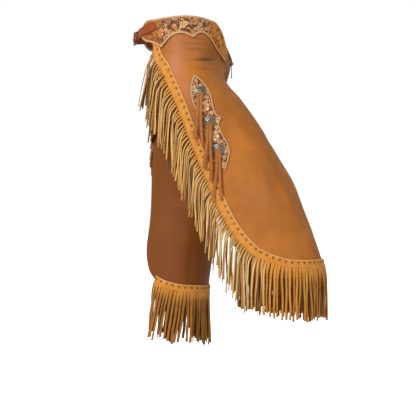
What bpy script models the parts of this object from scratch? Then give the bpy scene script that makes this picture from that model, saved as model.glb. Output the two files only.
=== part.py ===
"""Short fringed leather chaps, in the walking pose in which they are worn.

Metres. +X is the way the wearer walks, +Y is the wearer's left, +Z is up, and the origin is the middle
of the waist, at the height where the belt sits. The right leg is swung forward, the left one hangs.
"""

import math

import bmesh
import bpy
from mathutils import Vector

# Leathers and hardware, thickness or width
PANEL_THICK = 0.0020
FRINGE_THICK = 0.0018
PATCH_THICK = 0.0022
YOKE_THICK = 0.0032
STRAP_THICK = 0.0025
SEAM_GAP = 0.0005
OVERLAY_GAP = 0.0010
TIE_THICK = 0.0018

# Fringe strip: how far it lies on the panel, how far it reaches past the edge, and its strands
STRIP_ON_PANEL = 0.014
STRIP_PAST_SIDE = 0.021
STRIP_PAST_HEM = 0.015
STRIP_UNDER_YOKE = 0.012
STRIP_LIFT = 0.0018
STRAND_PITCH = 0.0110
STRAND_WIDTH = 0.0068
STRAND_LENGTH = 0.146
STRAND_CLEAR = 0.018
STRAND_BOW = 0.004
END_CLEAR = 0.004
FIRST_STRAND_Z = -0.090
STRIP_FREED = (0.052, 0.088)  # depths between which the strip comes out from under the yoke
FALL_DEPTHS = (0.012, 0.046)  # of a side strand's bends, below its root
HEM_FALL_DEPTH = 0.060
SWEEP_RIGHT = 3.0
SWEEP_LEFT = 12.6

# Layers over the middle of the panel's thickness
PANEL_FACE = PANEL_THICK / 2
STRIP_MID = PANEL_FACE + OVERLAY_GAP + FRINGE_THICK / 2
STRIP_FACE = STRIP_MID + FRINGE_THICK / 2
PATCH_MID = PANEL_FACE + OVERLAY_GAP + PATCH_THICK / 2
PATCH_FACE = PATCH_MID + PATCH_THICK / 2
YOKE_MID = PANEL_FACE + SEAM_GAP + YOKE_THICK / 2
YOKE_MID_ON_STRIP = STRIP_FACE + SEAM_GAP + YOKE_THICK / 2
STRAP_MID_ON_YOKE = YOKE_MID_ON_STRIP + YOKE_THICK / 2 + SEAM_GAP + STRAP_THICK / 2

# Along an edge, this many degrees count as long as one metre of height
DEGREES_PER_METRE = 200.0

# Sections of each leg from the waist down. Around the waist both legs share the ring of the hips; lower down
# each ring is the leather round one thigh. Half-lengths reach forward, back on the outside, back on the
# inside, outward and inward.
RIGHT_SECTIONS = (  # z, x, y, front, back_out, back_in, outer, inner
    (0.040, 0.000, 0.000, 0.127, 0.130, 0.130, 0.171, 0.150),
    (0.000, 0.000, 0.000, 0.128, 0.131, 0.131, 0.174, 0.150),
    (-0.050, 0.000, 0.000, 0.127, 0.133, 0.133, 0.178, 0.150),
    (-0.095, 0.000, -0.004, 0.121, 0.136, 0.130, 0.176, 0.140),
    (-0.145, 0.010, -0.045, 0.107, 0.150, 0.120, 0.144, 0.090),
    (-0.205, 0.050, -0.085, 0.111, 0.172, 0.105, 0.114, 0.079),
    (-0.270, 0.090, -0.097, 0.117, 0.186, 0.105, 0.106, 0.085),
    (-0.370, 0.145, -0.103, 0.122, 0.190, 0.112, 0.107, 0.089),
    (-0.430, 0.176, -0.106, 0.127, 0.190, 0.116, 0.110, 0.091),
    (-0.515, 0.210, -0.109, 0.127, 0.190, 0.118, 0.115, 0.092),
    (-0.607, 0.240, -0.112, 0.131, 0.190, 0.120, 0.122, 0.094),
    (-0.660, 0.255, -0.113, 0.133, 0.190, 0.122, 0.126, 0.095),
    (-0.860, 0.285, -0.115, 0.140, 0.190, 0.128, 0.138, 0.097),
)
LEFT_SECTIONS = (  # z, x, y, front, back_out, back_in, outer, inner
    (0.040, 0.000, 0.000, 0.130, 0.130, 0.130, 0.171, 0.150),
    (0.000, 0.000, 0.000, 0.131, 0.131, 0.131, 0.174, 0.150),
    (-0.050, 0.000, 0.000, 0.136, 0.133, 0.133, 0.178, 0.150),
    (-0.095, 0.000, 0.004, 0.137, 0.136, 0.130, 0.176, 0.140),
    (-0.145, 0.000, 0.045, 0.123, 0.142, 0.120, 0.144, 0.090),
    (-0.205, 0.000, 0.085, 0.110, 0.150, 0.103, 0.114, 0.079),
    (-0.300, -0.002, 0.093, 0.098, 0.152, 0.099, 0.107, 0.082),
    (-0.450, -0.002, 0.096, 0.093, 0.152, 0.098, 0.112, 0.084),
    (-0.550, -0.004, 0.098, 0.095, 0.152, 0.100, 0.118, 0.086),
    (-0.640, -0.010, 0.100, 0.093, 0.152, 0.105, 0.126, 0.088),
    (-0.735, -0.012, 0.102, 0.083, 0.150, 0.096, 0.132, 0.090),
    (-0.930, -0.014, 0.104, 0.086, 0.150, 0.096, 0.142, 0.092),
)

MEAN_RADIUS = 0.12

# Cut edges. The outer edge is drawn as seen from the side; the others by the angle round the leg, from the
# front, negative outward and positive inward.
RIGHT_OUTER_EDGE = (  # x, z
    (-0.0860, -0.012),
    (-0.0680, -0.091),
    (-0.0418, -0.139),
    (-0.0138, -0.205),
    (0.0130, -0.273),
    (0.0510, -0.371),
    (0.0842, -0.446),
    (0.1295, -0.543),
    (0.1597, -0.589),
    (0.1998, -0.630),
)
LEFT_OUTER_EDGE = (  # x, z
    (-0.0860, -0.012),
    (-0.0720, -0.091),
    (-0.0590, -0.160),
    (-0.0490, -0.240),
    (-0.0400, -0.330),
    (-0.0310, -0.420),
    (-0.0220, -0.510),
    (-0.0120, -0.595),
    (0.0010, -0.655),
    (0.0130, -0.692),
    (0.0300, -0.720),
)
RIGHT_HEM = (  # angle, z
    (-93.0, -0.650),
    (-82.0, -0.660),
    (-64.0, -0.6645),
    (-30.0, -0.665),
    (0.0, -0.664),
    (60.0, -0.661),
    (100.0, -0.655),
    (124.0, -0.645),
    (138.0, -0.634),
)
LEFT_HEM = (  # angle, z
    (-42.0, -0.737),
    (-20.0, -0.745),
    (0.0, -0.747),
    (60.0, -0.745),
    (92.0, -0.741),
    (124.0, -0.726),
    (139.0, -0.714),
)
TOP_EDGE = (  # angle, z
    (-118.0, -0.006),
    (-100.0, 0.004),
    (-70.0, 0.004),
    (-50.0, -0.006),
)
RIGHT_INNER_EDGE = (  # angle, z
    (-50.0, -0.006),
    (-38.0, -0.034),
    (-28.0, -0.062),
    (-15.0, -0.086),
    (-7.0, -0.120),
    (8.0, -0.147),
    (34.0, -0.176),
    (62.0, -0.205),
    (90.0, -0.236),
    (117.0, -0.272),
    (140.0, -0.318),
    (152.0, -0.380),
    (156.0, -0.460),
    (156.0, -0.550),
    (150.0, -0.605),
    (138.0, -0.634),
)
LEFT_INNER_EDGE = (  # angle, z
    (-50.0, -0.006),
    (-38.0, -0.034),
    (-28.0, -0.062),
    (-15.0, -0.086),
    (-7.0, -0.120),
    (8.0, -0.147),
    (34.0, -0.176),
    (62.0, -0.205),
    (90.0, -0.236),
    (120.0, -0.272),
    (146.0, -0.318),
    (160.0, -0.400),
    (163.0, -0.500),
    (164.0, -0.620),
    (156.0, -0.680),
    (139.0, -0.714),
)

# Largest folds, as troughs in the leather: middle, half-widths, depth, and how much the trough drops outward
RIGHT_FOLDS = (  # angle, z, half_angle, half_height, depth, slope
    (-42.0, -0.110, 34.0, 0.020, 0.0060, 0.00015),
    (-28.0, -0.470, 15.0, 0.110, 0.0050, 0.00000),
    (62.0, -0.480, 17.0, 0.120, 0.0060, 0.00000),
)
LEFT_FOLDS = (  # angle, z, half_angle, half_height, depth, slope
    (-34.0, -0.550, 15.0, 0.110, 0.0050, 0.00000),
    (44.0, -0.560, 17.0, 0.110, 0.0050, 0.00000),
    (96.0, -0.540, 16.0, 0.110, 0.0050, 0.00000),
)

# Tooled yoke, drawn by angle and z. Each scallop of its lower edge runs between two points.
YOKE_UPPER = (  # share along, angle, z
    (0.000, -147.5, -0.006),
    (0.050, -142.5, 0.0058),
    (0.230, -120.0, 0.0140),
    (0.400, -98.6, 0.0193),
    (0.520, -84.7, 0.0205),
    (0.640, -70.3, 0.0181),
    (0.760, -54.7, 0.0110),
    (0.840, -44.7, 0.0030),
    (0.890, -36.0, -0.0160),
    (0.940, -26.0, -0.0480),
    (1.000, -12.5, -0.0860),
)
YOKE_SCALLOPS = (  # share along, angle, z
    ((0.000, -147.5, -0.033), (0.060, -141.0, -0.0440), (0.150, -129.0, -0.0520), (0.260, -115.0, -0.0670)),
    ((0.260, -115.0, -0.067), (0.340, -104.9, -0.0399), (0.460, -91.2, -0.0290), (0.580, -77.2, -0.0401)),
    (
        (0.580, -77.2, -0.0401),
        (0.650, -68.5, -0.0266),
        (0.720, -58.0, -0.0360),
        (0.800, -46.0, -0.0640),
        (0.900, -28.0, -0.0900),
        (1.000, -11.0, -0.1010),
    ),
)
YOKE_COLUMNS = 44
YOKE_RISE = (-104.0, -114.0)  # angles between which the yoke climbs onto the strip's end

# Tooled side patch, its half-width down its length, and the three conchos on it
PATCH_HALF_WIDTHS = (  # along, half-width
    (0.000, 0.0012),
    (0.010, 0.0085),
    (0.027, 0.0185),
    (0.052, 0.0255),
    (0.078, 0.0265),
    (0.100, 0.0240),
    (0.122, 0.0255),
    (0.136, 0.0330),
    (0.148, 0.0240),
    (0.165, 0.0230),
    (0.190, 0.0255),
    (0.214, 0.0300),
    (0.228, 0.0285),
    (0.248, 0.0190),
    (0.262, 0.0095),
    (0.272, 0.0015),
)
RIGHT_PATCH = (0.0297, -0.1446, 18.4)  # x and z of its upper point, degrees forward of straight down
LEFT_PATCH = (0.0060, -0.1500, 4.0)
CONCHOS_ALONG = (0.051, 0.137, 0.216)
CONCHO_RADIUS = 0.0168
CONCHO_RIM = 0.0012
CONCHO_SEAT = 0.0005
CONCHO_HEIGHT = 0.0048
TIE_LENGTHS = ((0.128, 0.140), (0.126, 0.160), (0.142, 0.134))
TIE_OUT = (  # rows of distance below the concho's middle, distance out from the patch's face, spread
    ((0.018, 0.0073, 0.0), (0.045, 0.0086, 0.0010), (0.068, 0.0108, 0.0020), (0.100, 0.0108, 0.0030)),
    ((0.018, 0.0073, 0.0), (0.045, 0.0084, 0.0012), (0.064, 0.0106, 0.0025), (0.100, 0.0106, 0.0035)),
    ((0.018, 0.0071, 0.0), (0.040, 0.0044, 0.0010), (0.070, 0.0036, 0.0022), (0.100, 0.0038, 0.0035)),
)
TIE_TIP_OUT = (0.0118, 0.0078, 0.0044)
TIE_TIP_SPREAD = 0.0050
TIE_STRAND_WIDTH = 0.0075
TIE_SLIT = 0.0014
TIE_TOP = ((0.006, 0.55), (-0.006, 1.0))  # height over the concho's middle, share of the full width

# Leg straps behind the thigh
LEG_STRAP_WIDTH = 0.022
STRAP_LEAVES = 0.0024  # how far a strap has left the panel where it passes its edge
STRAP_LAP_STEPS = 4
RIGHT_LEG_STRAPS = (  # outer angle, outer z, inner angle, inner z, x behind the thigh, gap to the panel
    (-96.0, -0.196, 92.0, -0.276, -0.078, 0.0019),
    (-98.0, -0.276, 118.0, -0.338, -0.056, 0.0019),
    (-100.0, -0.347, 134.0, -0.404, -0.026, 0.0019),
)
LEFT_LEG_STRAPS = (  # outer angle, outer z, inner angle, inner z, x behind the thigh, gap to the panel
    (-84.0, -0.206, 92.0, -0.276, -0.093, 0.0019),
    (-84.0, -0.283, 122.0, -0.342, -0.096, 0.0019),
    (-84.0, -0.362, 138.0, -0.414, -0.097, 0.0010),
)

# Back closure
BACK_STRAP_WIDTH = 0.025
BACK_STRAP_DROP = (  # degrees from the middle of the back, z
    (-58.0, -0.0060),
    (-45.0, -0.0130),
    (-28.0, -0.0200),
    (0.0, -0.0270),
    (28.0, -0.0200),
    (45.0, -0.0130),
    (58.0, -0.0060),
)
METRES_PER_DEGREE = 0.0028
STRAP_END_ROUND = 0.010
STRAP_START_DEG = 57.0
BUCKLE_STRAP_MID = 0.0050
BILLET_MID = 0.0090
BILLET_TIP_DEG = 22.0
BUCKLE_WIRE = 0.0018
BUCKLE_HEEL_Y = -0.0125
BUCKLE_FRONT_Y = 0.0170
BUCKLE_HALF_HEIGHT = 0.0153
BUCKLE_CORNER = 0.004
PRONG_RADIUS = 0.0012
PRONG_HOLE = (0.012, 0.0080, 0.0044)
PRONG_HOLE_Y = BUCKLE_HEEL_Y + 0.0040
BUCKLE_HEEL_OUT = BUCKLE_STRAP_MID
BUCKLE_FRONT_OUT = BILLET_MID + STRAP_THICK / 2 + SEAM_GAP + BUCKLE_WIRE
KEEPER_Y = -0.032
KEEPER_LENGTH = 0.010
KEEPER_THICK = 0.0014
KEEPER_GAP = 0.0008
BUCKLE_STRAP_OUT = (  # degrees from the middle of the back, distance out
    (0.0, BUCKLE_STRAP_MID),
    (19.0, BUCKLE_STRAP_MID + 0.0002),
    (30.0, STRAP_MID_ON_YOKE),
    (60.0, STRAP_MID_ON_YOKE),
)
BILLET_OUT = (  # degrees from the middle of the back, distance out
    (-60.0, STRAP_MID_ON_YOKE),
    (-30.0, STRAP_MID_ON_YOKE),
    (-14.0, BILLET_MID),
    (0.0, BILLET_MID),
    (BILLET_TIP_DEG, BILLET_MID + 0.0010),
)

# Front lace
LACE_WIDTH = 0.006
LACE_THICK = 0.0020
LACE_SLIT = 0.0012
LACE_Z = -0.093
LACE_ANGLES = (18.0, 12.0)
LACE_OUT = YOKE_MID + YOKE_THICK / 2 + 2 * SEAM_GAP + LACE_THICK / 2
LACE_ENDS = ((0.020, 0.004), (0.045, 0.009))  # depth, how far the end leans out

COLOURS = {  # base colour, roughness, metallic
    "panel": ((0.47, 0.21, 0.07), 0.50, 0.0),
    "fringe": ((0.66, 0.37, 0.10), 0.80, 0.0),
    "tooled": ((0.50, 0.24, 0.10), 0.45, 0.0),
    "strap": ((0.38, 0.13, 0.04), 0.50, 0.0),
    "tie": ((0.50, 0.21, 0.07), 0.60, 0.0),
    "silver": ((0.55, 0.54, 0.52), 0.30, 1.0),
    "steel": ((0.35, 0.33, 0.30), 0.35, 1.0),
}


def clear_scene():
    for obj in list(bpy.data.objects):
        bpy.data.objects.remove(obj, do_unlink=True)


def make_material(name):
    colour, roughness, metallic = COLOURS[name]
    material = bpy.data.materials.new(name)
    material.use_nodes = True
    shader = material.node_tree.nodes["Principled BSDF"]
    shader.inputs["Base Color"].default_value = (*colour, 1.0)
    shader.inputs["Roughness"].default_value = roughness
    shader.inputs["Metallic"].default_value = metallic
    return material


def add_object(name, data, material):
    obj = bpy.data.objects.new(name, data)
    data.materials.append(material)
    parts.objects.link(obj)
    return obj


def curve_through(rows, t):
    """A smooth curve through rows of (t, value, ...), as a list of the values at t."""
    rows = [tuple(row) for row in rows]
    last = len(rows) - 1
    i = 0
    while i < last - 1 and t > rows[i + 1][0]:
        i += 1
    t0, t1 = rows[i][0], rows[i + 1][0]
    span = t1 - t0
    share = min(1.0, max(0.0, (t - t0) / span))

    def slope(j, column):
        if j == 0:
            return (rows[1][column] - rows[0][column]) / (rows[1][0] - rows[0][0])
        if j == last:
            return (rows[last][column] - rows[last - 1][column]) / (rows[last][0] - rows[last - 1][0])
        before = (rows[j][column] - rows[j - 1][column]) / (rows[j][0] - rows[j - 1][0])
        after = (rows[j + 1][column] - rows[j][column]) / (rows[j + 1][0] - rows[j][0])
        near, far = rows[j][0] - rows[j - 1][0], rows[j + 1][0] - rows[j][0]
        return (before * far + after * near) / (near + far)

    values = []
    for column in range(1, len(rows[0])):
        start, end = rows[i][column], rows[i + 1][column]
        leave, arrive = slope(i, column) * span, slope(i + 1, column) * span
        s2, s3 = share * share, share**3
        values.append(
            start * (2 * s3 - 3 * s2 + 1)
            + leave * (s3 - 2 * s2 + share)
            + end * (3 * s2 - 2 * s3)
            + arrive * (s3 - s2)
        )
    return values


def along_points(points):
    """The points with their running length in front, so that curve_through can follow them."""
    total, rows = 0.0, []
    for k, point in enumerate(points):
        if k:
            total += math.dist(point, points[k - 1])
        rows.append((total, *point))
    return rows


def edge_rows(places):
    """An edge's points, given by angle and height, as rows of length, scaled angle and height."""
    return along_points([(angle / DEGREES_PER_METRE, z) for angle, z in places])


def smoothstep(low, high, value):
    share = min(1.0, max(0.0, (value - low) / (high - low)))
    return share * share * (3 - 2 * share)


class Leg:
    """The leather of one leg as a surface: an angle round it, a height z, and a distance out."""

    ANGLE_STEP = 0.3
    HEIGHT_STEP = 0.0006
    TANGENT_REACH = 0.004
    PATH_STEPS = 60

    def __init__(self, name, side, sections, folds, outer_edge, hem, inner_edge):
        self.name = name
        self.side = side
        self.sections = sorted(sections)
        self.folds = folds
        outer = [(self.angle_seen(x, z), z) for x, z in outer_edge]
        self.outer_rows = edge_rows(outer)
        self.hem_rows = edge_rows([outer[-1], *hem])
        self.inner_rows = edge_rows(inner_edge)
        self.top_rows = edge_rows([outer[0], *TOP_EDGE])

    def section(self, z):
        return curve_through(self.sections, z)

    def angle_seen(self, x, z):
        """The angle on the outside of the leg of a point at x and z as seen from the side."""
        middle, _, front, back_out, _, _, _ = self.section(z)
        reach = front if x > middle else back_out
        return -math.degrees(math.acos(max(-1.0, min(1.0, (x - middle) / reach))))

    def fold(self, angle, z):
        depth = 0.0
        for at, height, half_angle, half_height, deep, slope in self.folds:
            across = (angle - at) / half_angle
            down = (z - height - slope * (angle - at)) / half_height
            depth += deep * math.exp(-across * across - down * down)
        return depth

    def base(self, angle, z, folded=False):
        """A point of the leather's surface; what is sewn on bridges the folds."""
        x, y, front, back_out, back_in, outer, inner = self.section(z)
        turn = math.radians(angle)
        ahead, aside = math.cos(turn), math.sin(turn)
        reach = front if ahead > 0 else (back_in if aside > 0 else back_out)
        spread = inner if aside > 0 else outer
        sunk = 1.0 - self.fold(angle, z) / MEAN_RADIUS if folded else 1.0
        return Vector((x + reach * ahead * sunk, y - self.side * spread * aside * sunk, z))

    def frame(self, angle, z):
        """The point, how it moves for each degree and each metre of height, and the outward normal."""
        point = self.base(angle, z)
        step_round = self.base(angle + self.ANGLE_STEP, z) - self.base(angle - self.ANGLE_STEP, z)
        step_up = self.base(angle, z + self.HEIGHT_STEP) - self.base(angle, z - self.HEIGHT_STEP)
        step_round /= 2 * self.ANGLE_STEP
        step_up /= 2 * self.HEIGHT_STEP
        normal = step_round.cross(step_up).normalized() * -self.side
        return point, step_round, step_up, normal

    def at(self, angle, z, out=0.0):
        point, _, _, normal = self.frame(angle, z)
        return point + normal * out

    def seen(self, x, z, out=0.0):
        return self.at(self.angle_seen(x, z), z, out)

    def shifted(self, angle, z, move):
        """The angle and height reached from here by a small move in space along the surface."""
        _, per_degree, per_metre, _ = self.frame(angle, z)
        a, b, c = per_degree.dot(per_degree), per_degree.dot(per_metre), per_metre.dot(per_metre)
        p, q = per_degree.dot(move), per_metre.dot(move)
        det = a * c - b * b
        return angle + (p * c - q * b) / det, z + (q * a - p * b) / det

    def boundary(self, rows, share):
        scaled, z = curve_through(rows, share * rows[-1][0])
        return scaled * DEGREES_PER_METRE, z

    def edge_angle(self, rows, z):
        """The angle at which an edge passes a height."""
        places = [self.boundary(rows, k / 80) for k in range(81)]
        return min(places, key=lambda place: abs(place[1] - z))[0]

    def panel_place(self, u, v):
        """Angle and height inside the cut outline, u from the outer edge inward and v from top to hem."""
        top, hem = self.boundary(self.top_rows, u), self.boundary(self.hem_rows, u)
        outer, inner = self.boundary(self.outer_rows, v), self.boundary(self.inner_rows, v)
        corners = (
            self.boundary(self.top_rows, 0.0),
            self.boundary(self.top_rows, 1.0),
            self.boundary(self.hem_rows, 0.0),
            self.boundary(self.hem_rows, 1.0),
        )
        place = []
        for k in (0, 1):
            sides = (1 - v) * top[k] + v * hem[k] + (1 - u) * outer[k] + u * inner[k]
            cornered = (1 - v) * ((1 - u) * corners[0][k] + u * corners[1][k])
            cornered += v * ((1 - u) * corners[2][k] + u * corners[3][k])
            place.append(sides - cornered)
        return place

    def fringe_path(self):
        """Points down the outer edge and round the hem: length so far, scaled angle, z."""
        steps = self.PATH_STEPS
        places = [self.boundary(self.outer_rows, k / steps) for k in range(steps + 1)]
        places += [self.boundary(self.hem_rows, k / steps) for k in range(1, steps + 1)]
        rows, total = [], 0.0
        for k, (angle, z) in enumerate(places):
            if k:
                total += (self.base(angle, z) - self.base(*places[k - 1])).length
            rows.append((total, angle / DEGREES_PER_METRE, z))
        return rows

    def on_path(self, rows, length):
        """Place, tangent along the edge and direction off the leather at a length down the edge."""
        length = min(rows[-1][0], max(0.0, length))
        scaled, z = curve_through(rows, length)
        before = curve_through(rows, max(0.0, length - self.TANGENT_REACH))
        after = curve_through(rows, min(rows[-1][0], length + self.TANGENT_REACH))
        start = self.base(before[0] * DEGREES_PER_METRE, before[1])
        end = self.base(after[0] * DEGREES_PER_METRE, after[1])
        tangent = (end - start).normalized()
        normal = self.frame(scaled * DEGREES_PER_METRE, z)[3]
        away = tangent.cross(normal).normalized() * -self.side
        return scaled * DEGREES_PER_METRE, z, tangent, away, normal

    def inside_path(self, rows, length, inset, out):
        """A point on the leather at a distance in from the cut edge."""
        angle, z, _, away, _ = self.on_path(rows, length)
        return self.at(*self.shifted(angle, z, away * -inset), out)

    def past_path(self, rows, length):
        """A point on the strip's free side: straight on past the cut edge, but close in under the yoke."""
        angle, z, tangent, away, normal = self.on_path(rows, length)
        covered = self.at(*self.shifted(angle, z, away * STRIP_UNDER_YOKE), STRIP_MID)
        free = self.base(angle, z) + away * strip_reach(tangent) + normal * (STRIP_MID + STRIP_LIFT)
        return covered.lerp(free, smoothstep(*STRIP_FREED, -z))


def sheet_object(name, grid, thick, material):
    """A wall of leather from a grid of points on its middle surface."""
    columns = len(grid[0])
    points = [point for row in grid for point in row]
    faces = []
    for r in range(len(grid) - 1):
        for c in range(columns - 1):
            first = r * columns + c
            faces.append((first, first + 1, first + 1 + columns, first + columns))
    return wall_object(name, points, faces, thick, material)


def wall_object(name, points, faces, thick, material):
    """A wall of even thickness about an open surface, with its faces pointing out."""
    mesh = bpy.data.meshes.new(name)
    mesh.from_pydata(points, [], faces)
    mesh.update()
    mesh.shade_smooth()
    obj = add_object(name, mesh, material)
    wall = obj.modifiers.new("leather", "SOLIDIFY")
    wall.thickness = thick
    wall.offset = 0.0
    wall.use_rim = True
    return obj


def build_panel(leg, material, across=22, down=19):
    grid = []
    for r in range(down + 1):
        row = []
        for c in range(across + 1):
            angle, z = leg.panel_place(c / across, r / down)
            row.append(leg.base(angle, z, folded=True))
        grid.append(row)
    return sheet_object(f"leg_panel_{leg.name}", grid, PANEL_THICK, material)


def strand_direction(tangent, sweep):
    """How a strand hangs: down, and swept back where the edge is steep."""
    steep = abs(tangent.z) ** 1.5
    lean = math.radians(sweep) * steep
    return Vector((-math.sin(lean), 0.0, -math.cos(lean)))


def strand_width(tangent):
    """The flat side of a hanging strand, turned edge-on where the edge is steep."""
    level = Vector((tangent.x, tangent.y, 0.0))
    if level.length < 0.05:
        level = Vector((0.05, 0.0, 0.0))
    turn = math.radians(90.0) * (1.0 - min(1.0, level.length) ** 0.8)
    level.normalize()
    return Vector(
        (
            level.x * math.cos(turn) - level.y * math.sin(turn),
            level.x * math.sin(turn) + level.y * math.cos(turn),
            0.0,
        )
    )


def strip_reach(tangent):
    """How far the uncut strip reaches past the edge: more on the side than on the hem."""
    steep = smoothstep(0.15, 0.8, abs(tangent.z))
    return STRIP_PAST_HEM + (STRIP_PAST_SIDE - STRIP_PAST_HEM) * steep


def build_fringe(leg, material, sweep):
    """A strip along the outer edge and the hem, slit into strands, with its roots left whole."""
    rows = leg.fringe_path()
    usable = rows[-1][0] - 2 * END_CLEAR
    count = int(usable / STRAND_PITCH)
    pitch = usable / count
    points, faces = [], []

    def add(point):
        points.append(point)
        return len(points) - 1

    inner_line, roots = [], []
    for k in range(count + 1):
        length = END_CLEAR + k * pitch
        inner_line.append(add(leg.inside_path(rows, length, STRIP_ON_PANEL, STRIP_MID)))
        if k == count:
            break
        pair = []
        for offset in (-STRAND_WIDTH / 2, STRAND_WIDTH / 2):
            pair.append(add(leg.past_path(rows, length + pitch / 2 + offset)))
        roots.append(pair)
    for k in range(count):
        following = [roots[k + 1][0]] if k + 1 < count else []
        faces.append((inner_line[k], *roots[k], *following, inner_line[k + 1]))

    for k, (left, right) in enumerate(roots):
        length = END_CLEAR + (k + 0.5) * pitch
        if points[left].z > FIRST_STRAND_Z:
            continue
        _, _, tangent, away, _ = leg.on_path(rows, length)
        hang = strand_direction(tangent, sweep)
        flat = strand_width(tangent)
        if flat.dot(tangent) < 0:
            flat = -flat
        steep = smoothstep(0.25, 0.7, abs(tangent.z))
        middle = (points[left] + points[right]) / 2 + away * STRAND_CLEAR * steep
        uneven = 0.004 * math.sin(k * 2.4) + 0.003 * math.sin(k * 0.9)
        stations = []
        if steep > 0.05:
            stations.append((middle + hang * FALL_DEPTHS[0], (tangent + flat).normalized()))
            stations.append((middle + away * STRAND_BOW * steep + hang * FALL_DEPTHS[1], flat))
        else:
            stations.append((middle + hang * HEM_FALL_DEPTH, flat))
        stations.append((middle + hang * (STRAND_LENGTH + uneven), flat))
        above = (left, right)
        for centre, width in stations:
            below = (
                add(centre - width * STRAND_WIDTH / 2),
                add(centre + width * STRAND_WIDTH / 2),
            )
            faces.append((above[0], below[0], below[1], above[1]))
            above = below
    return wall_object(f"fringe_{leg.name}", points, faces, FRINGE_THICK, material)


def yoke_edges(share):
    """Angle and height of the yoke's upper and lower edge at a share of its length from the back."""
    upper = curve_through(YOKE_UPPER, share)
    for scallop in YOKE_SCALLOPS:
        if share <= scallop[-1][0] + 1e-9:
            return upper, curve_through(scallop, share)
    return upper, list(YOKE_SCALLOPS[-1][-1][1:])


def yoke_out(angle):
    climb = smoothstep(-YOKE_RISE[0], -YOKE_RISE[1], -angle)
    return YOKE_MID + (YOKE_MID_ON_STRIP - YOKE_MID) * climb


def yoke_shares():
    """Shares along the yoke for its columns, with one at each point of the scallops."""
    shares = []
    for scallop in YOKE_SCALLOPS:
        start, end = scallop[0][0], scallop[-1][0]
        steps = round((end - start) * YOKE_COLUMNS)
        shares += [start + (end - start) * k / steps for k in range(steps)]
    return shares + [1.0]


def build_yoke(leg, material, rows=3):
    grid = []
    for share in yoke_shares():
        upper, lower = yoke_edges(share)
        column = []
        for r in range(rows + 1):
            part = r / rows
            angle = upper[0] + (lower[0] - upper[0]) * part
            z = upper[1] + (lower[1] - upper[1]) * part
            column.append(leg.at(angle, z, yoke_out(angle)))
        grid.append(column)
    return sheet_object(f"yoke_{leg.name}", grid, YOKE_THICK, material)


class Patch:
    """The tooled patch on the outside of the thigh, in its own lengths along and across."""

    def __init__(self, leg, top_x, top_z, lean_deg):
        self.leg = leg
        self.top_x = top_x
        self.top_z = top_z
        self.lean = math.radians(lean_deg)

    def at(self, along, across, out):
        x = self.top_x + along * math.sin(self.lean) + across * math.cos(self.lean)
        z = self.top_z - along * math.cos(self.lean) + across * math.sin(self.lean)
        return self.leg.seen(x, z, out)

    def build(self, material, across=4):
        grid = []
        for along, half_width in PATCH_HALF_WIDTHS:
            row = []
            for c in range(across + 1):
                row.append(self.at(along, half_width * (2 * c / across - 1), PATCH_MID))
            grid.append(row)
        return sheet_object(f"side_patch_{self.leg.name}", grid, PATCH_THICK, material)


def facing(patch, along):
    """Place on the patch's face, its outward normal, and the rotation that turns +Z to that normal."""
    face = patch.at(along, 0.0, PATCH_FACE)
    step = CONCHO_RADIUS / 3
    ahead = patch.at(along, step, PATCH_FACE) - patch.at(along, -step, PATCH_FACE)
    down = patch.at(along + step, 0.0, PATCH_FACE) - patch.at(along - step, 0.0, PATCH_FACE)
    normal = ahead.cross(down).normalized()
    if normal.y * patch.leg.side < 0:
        normal = -normal
    return face, normal, normal.to_track_quat("Z", "Y")


def build_concho(patch, number, material):
    face, normal, rotation = facing(patch, CONCHOS_ALONG[number])
    profile = (
        (0.0, 0.0),
        (CONCHO_RADIUS, 0.0),
        (CONCHO_RADIUS, CONCHO_RIM),
        (0.0125, CONCHO_HEIGHT * 0.50),
        (0.0070, CONCHO_HEIGHT * 0.84),
        (0.0, CONCHO_HEIGHT),
    )
    mesh = bpy.data.meshes.new("concho")
    mesh.from_pydata([(r, 0.0, h) for r, h in profile], [(k, k + 1) for k in range(len(profile) - 1)], [])
    obj = add_object(f"concho_{patch.leg.name}_{number + 1}", mesh, material)
    turn = obj.modifiers.new("turned", "SCREW")
    turn.steps = 14
    turn.render_steps = 14
    turn.use_merge_vertices = True
    turn.merge_threshold = 0.00005
    turn.use_normal_calculate = True
    obj.location = face + normal * CONCHO_SEAT
    obj.rotation_mode = "QUATERNION"
    obj.rotation_quaternion = rotation
    return obj


def build_tie(patch, number, material):
    """A thong through a concho, with its two ends hanging straight down over the leather."""
    leg = patch.leg
    face, _, _ = facing(patch, CONCHOS_ALONG[number])
    over = CONCHO_SEAT + CONCHO_HEIGHT + SEAM_GAP + TIE_THICK / 2
    half = TIE_STRAND_WIDTH + TIE_SLIT / 2
    offsets = (-half, -TIE_SLIT / 2, TIE_SLIT / 2, half)
    points, faces = [], []
    for dz, width in TIE_TOP:
        for dx in offsets:
            points.append(leg.seen(face.x + dx * width, face.z + dz, PATCH_FACE + over))
    faces += [(k, k + 4, k + 5, k + 1) for k in range(3)]
    for strand, (side, first) in enumerate(((-1, 4), (1, 6))):
        rows = TIE_OUT[number] + ((TIE_LENGTHS[number][strand], TIE_TIP_OUT[number], TIE_TIP_SPREAD),)
        above = (first, first + 1)
        for below_by, out, spread in rows:
            below = []
            for dx in offsets[2 * strand : 2 * strand + 2]:
                points.append(leg.seen(face.x + dx + side * spread, face.z - below_by, PATCH_FACE + out))
                below.append(len(points) - 1)
            faces.append((above[0], below[0], below[1], above[1]))
            above = below
    return wall_object(f"tie_{leg.name}_{number + 1}", points, faces, TIE_THICK, material)


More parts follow.
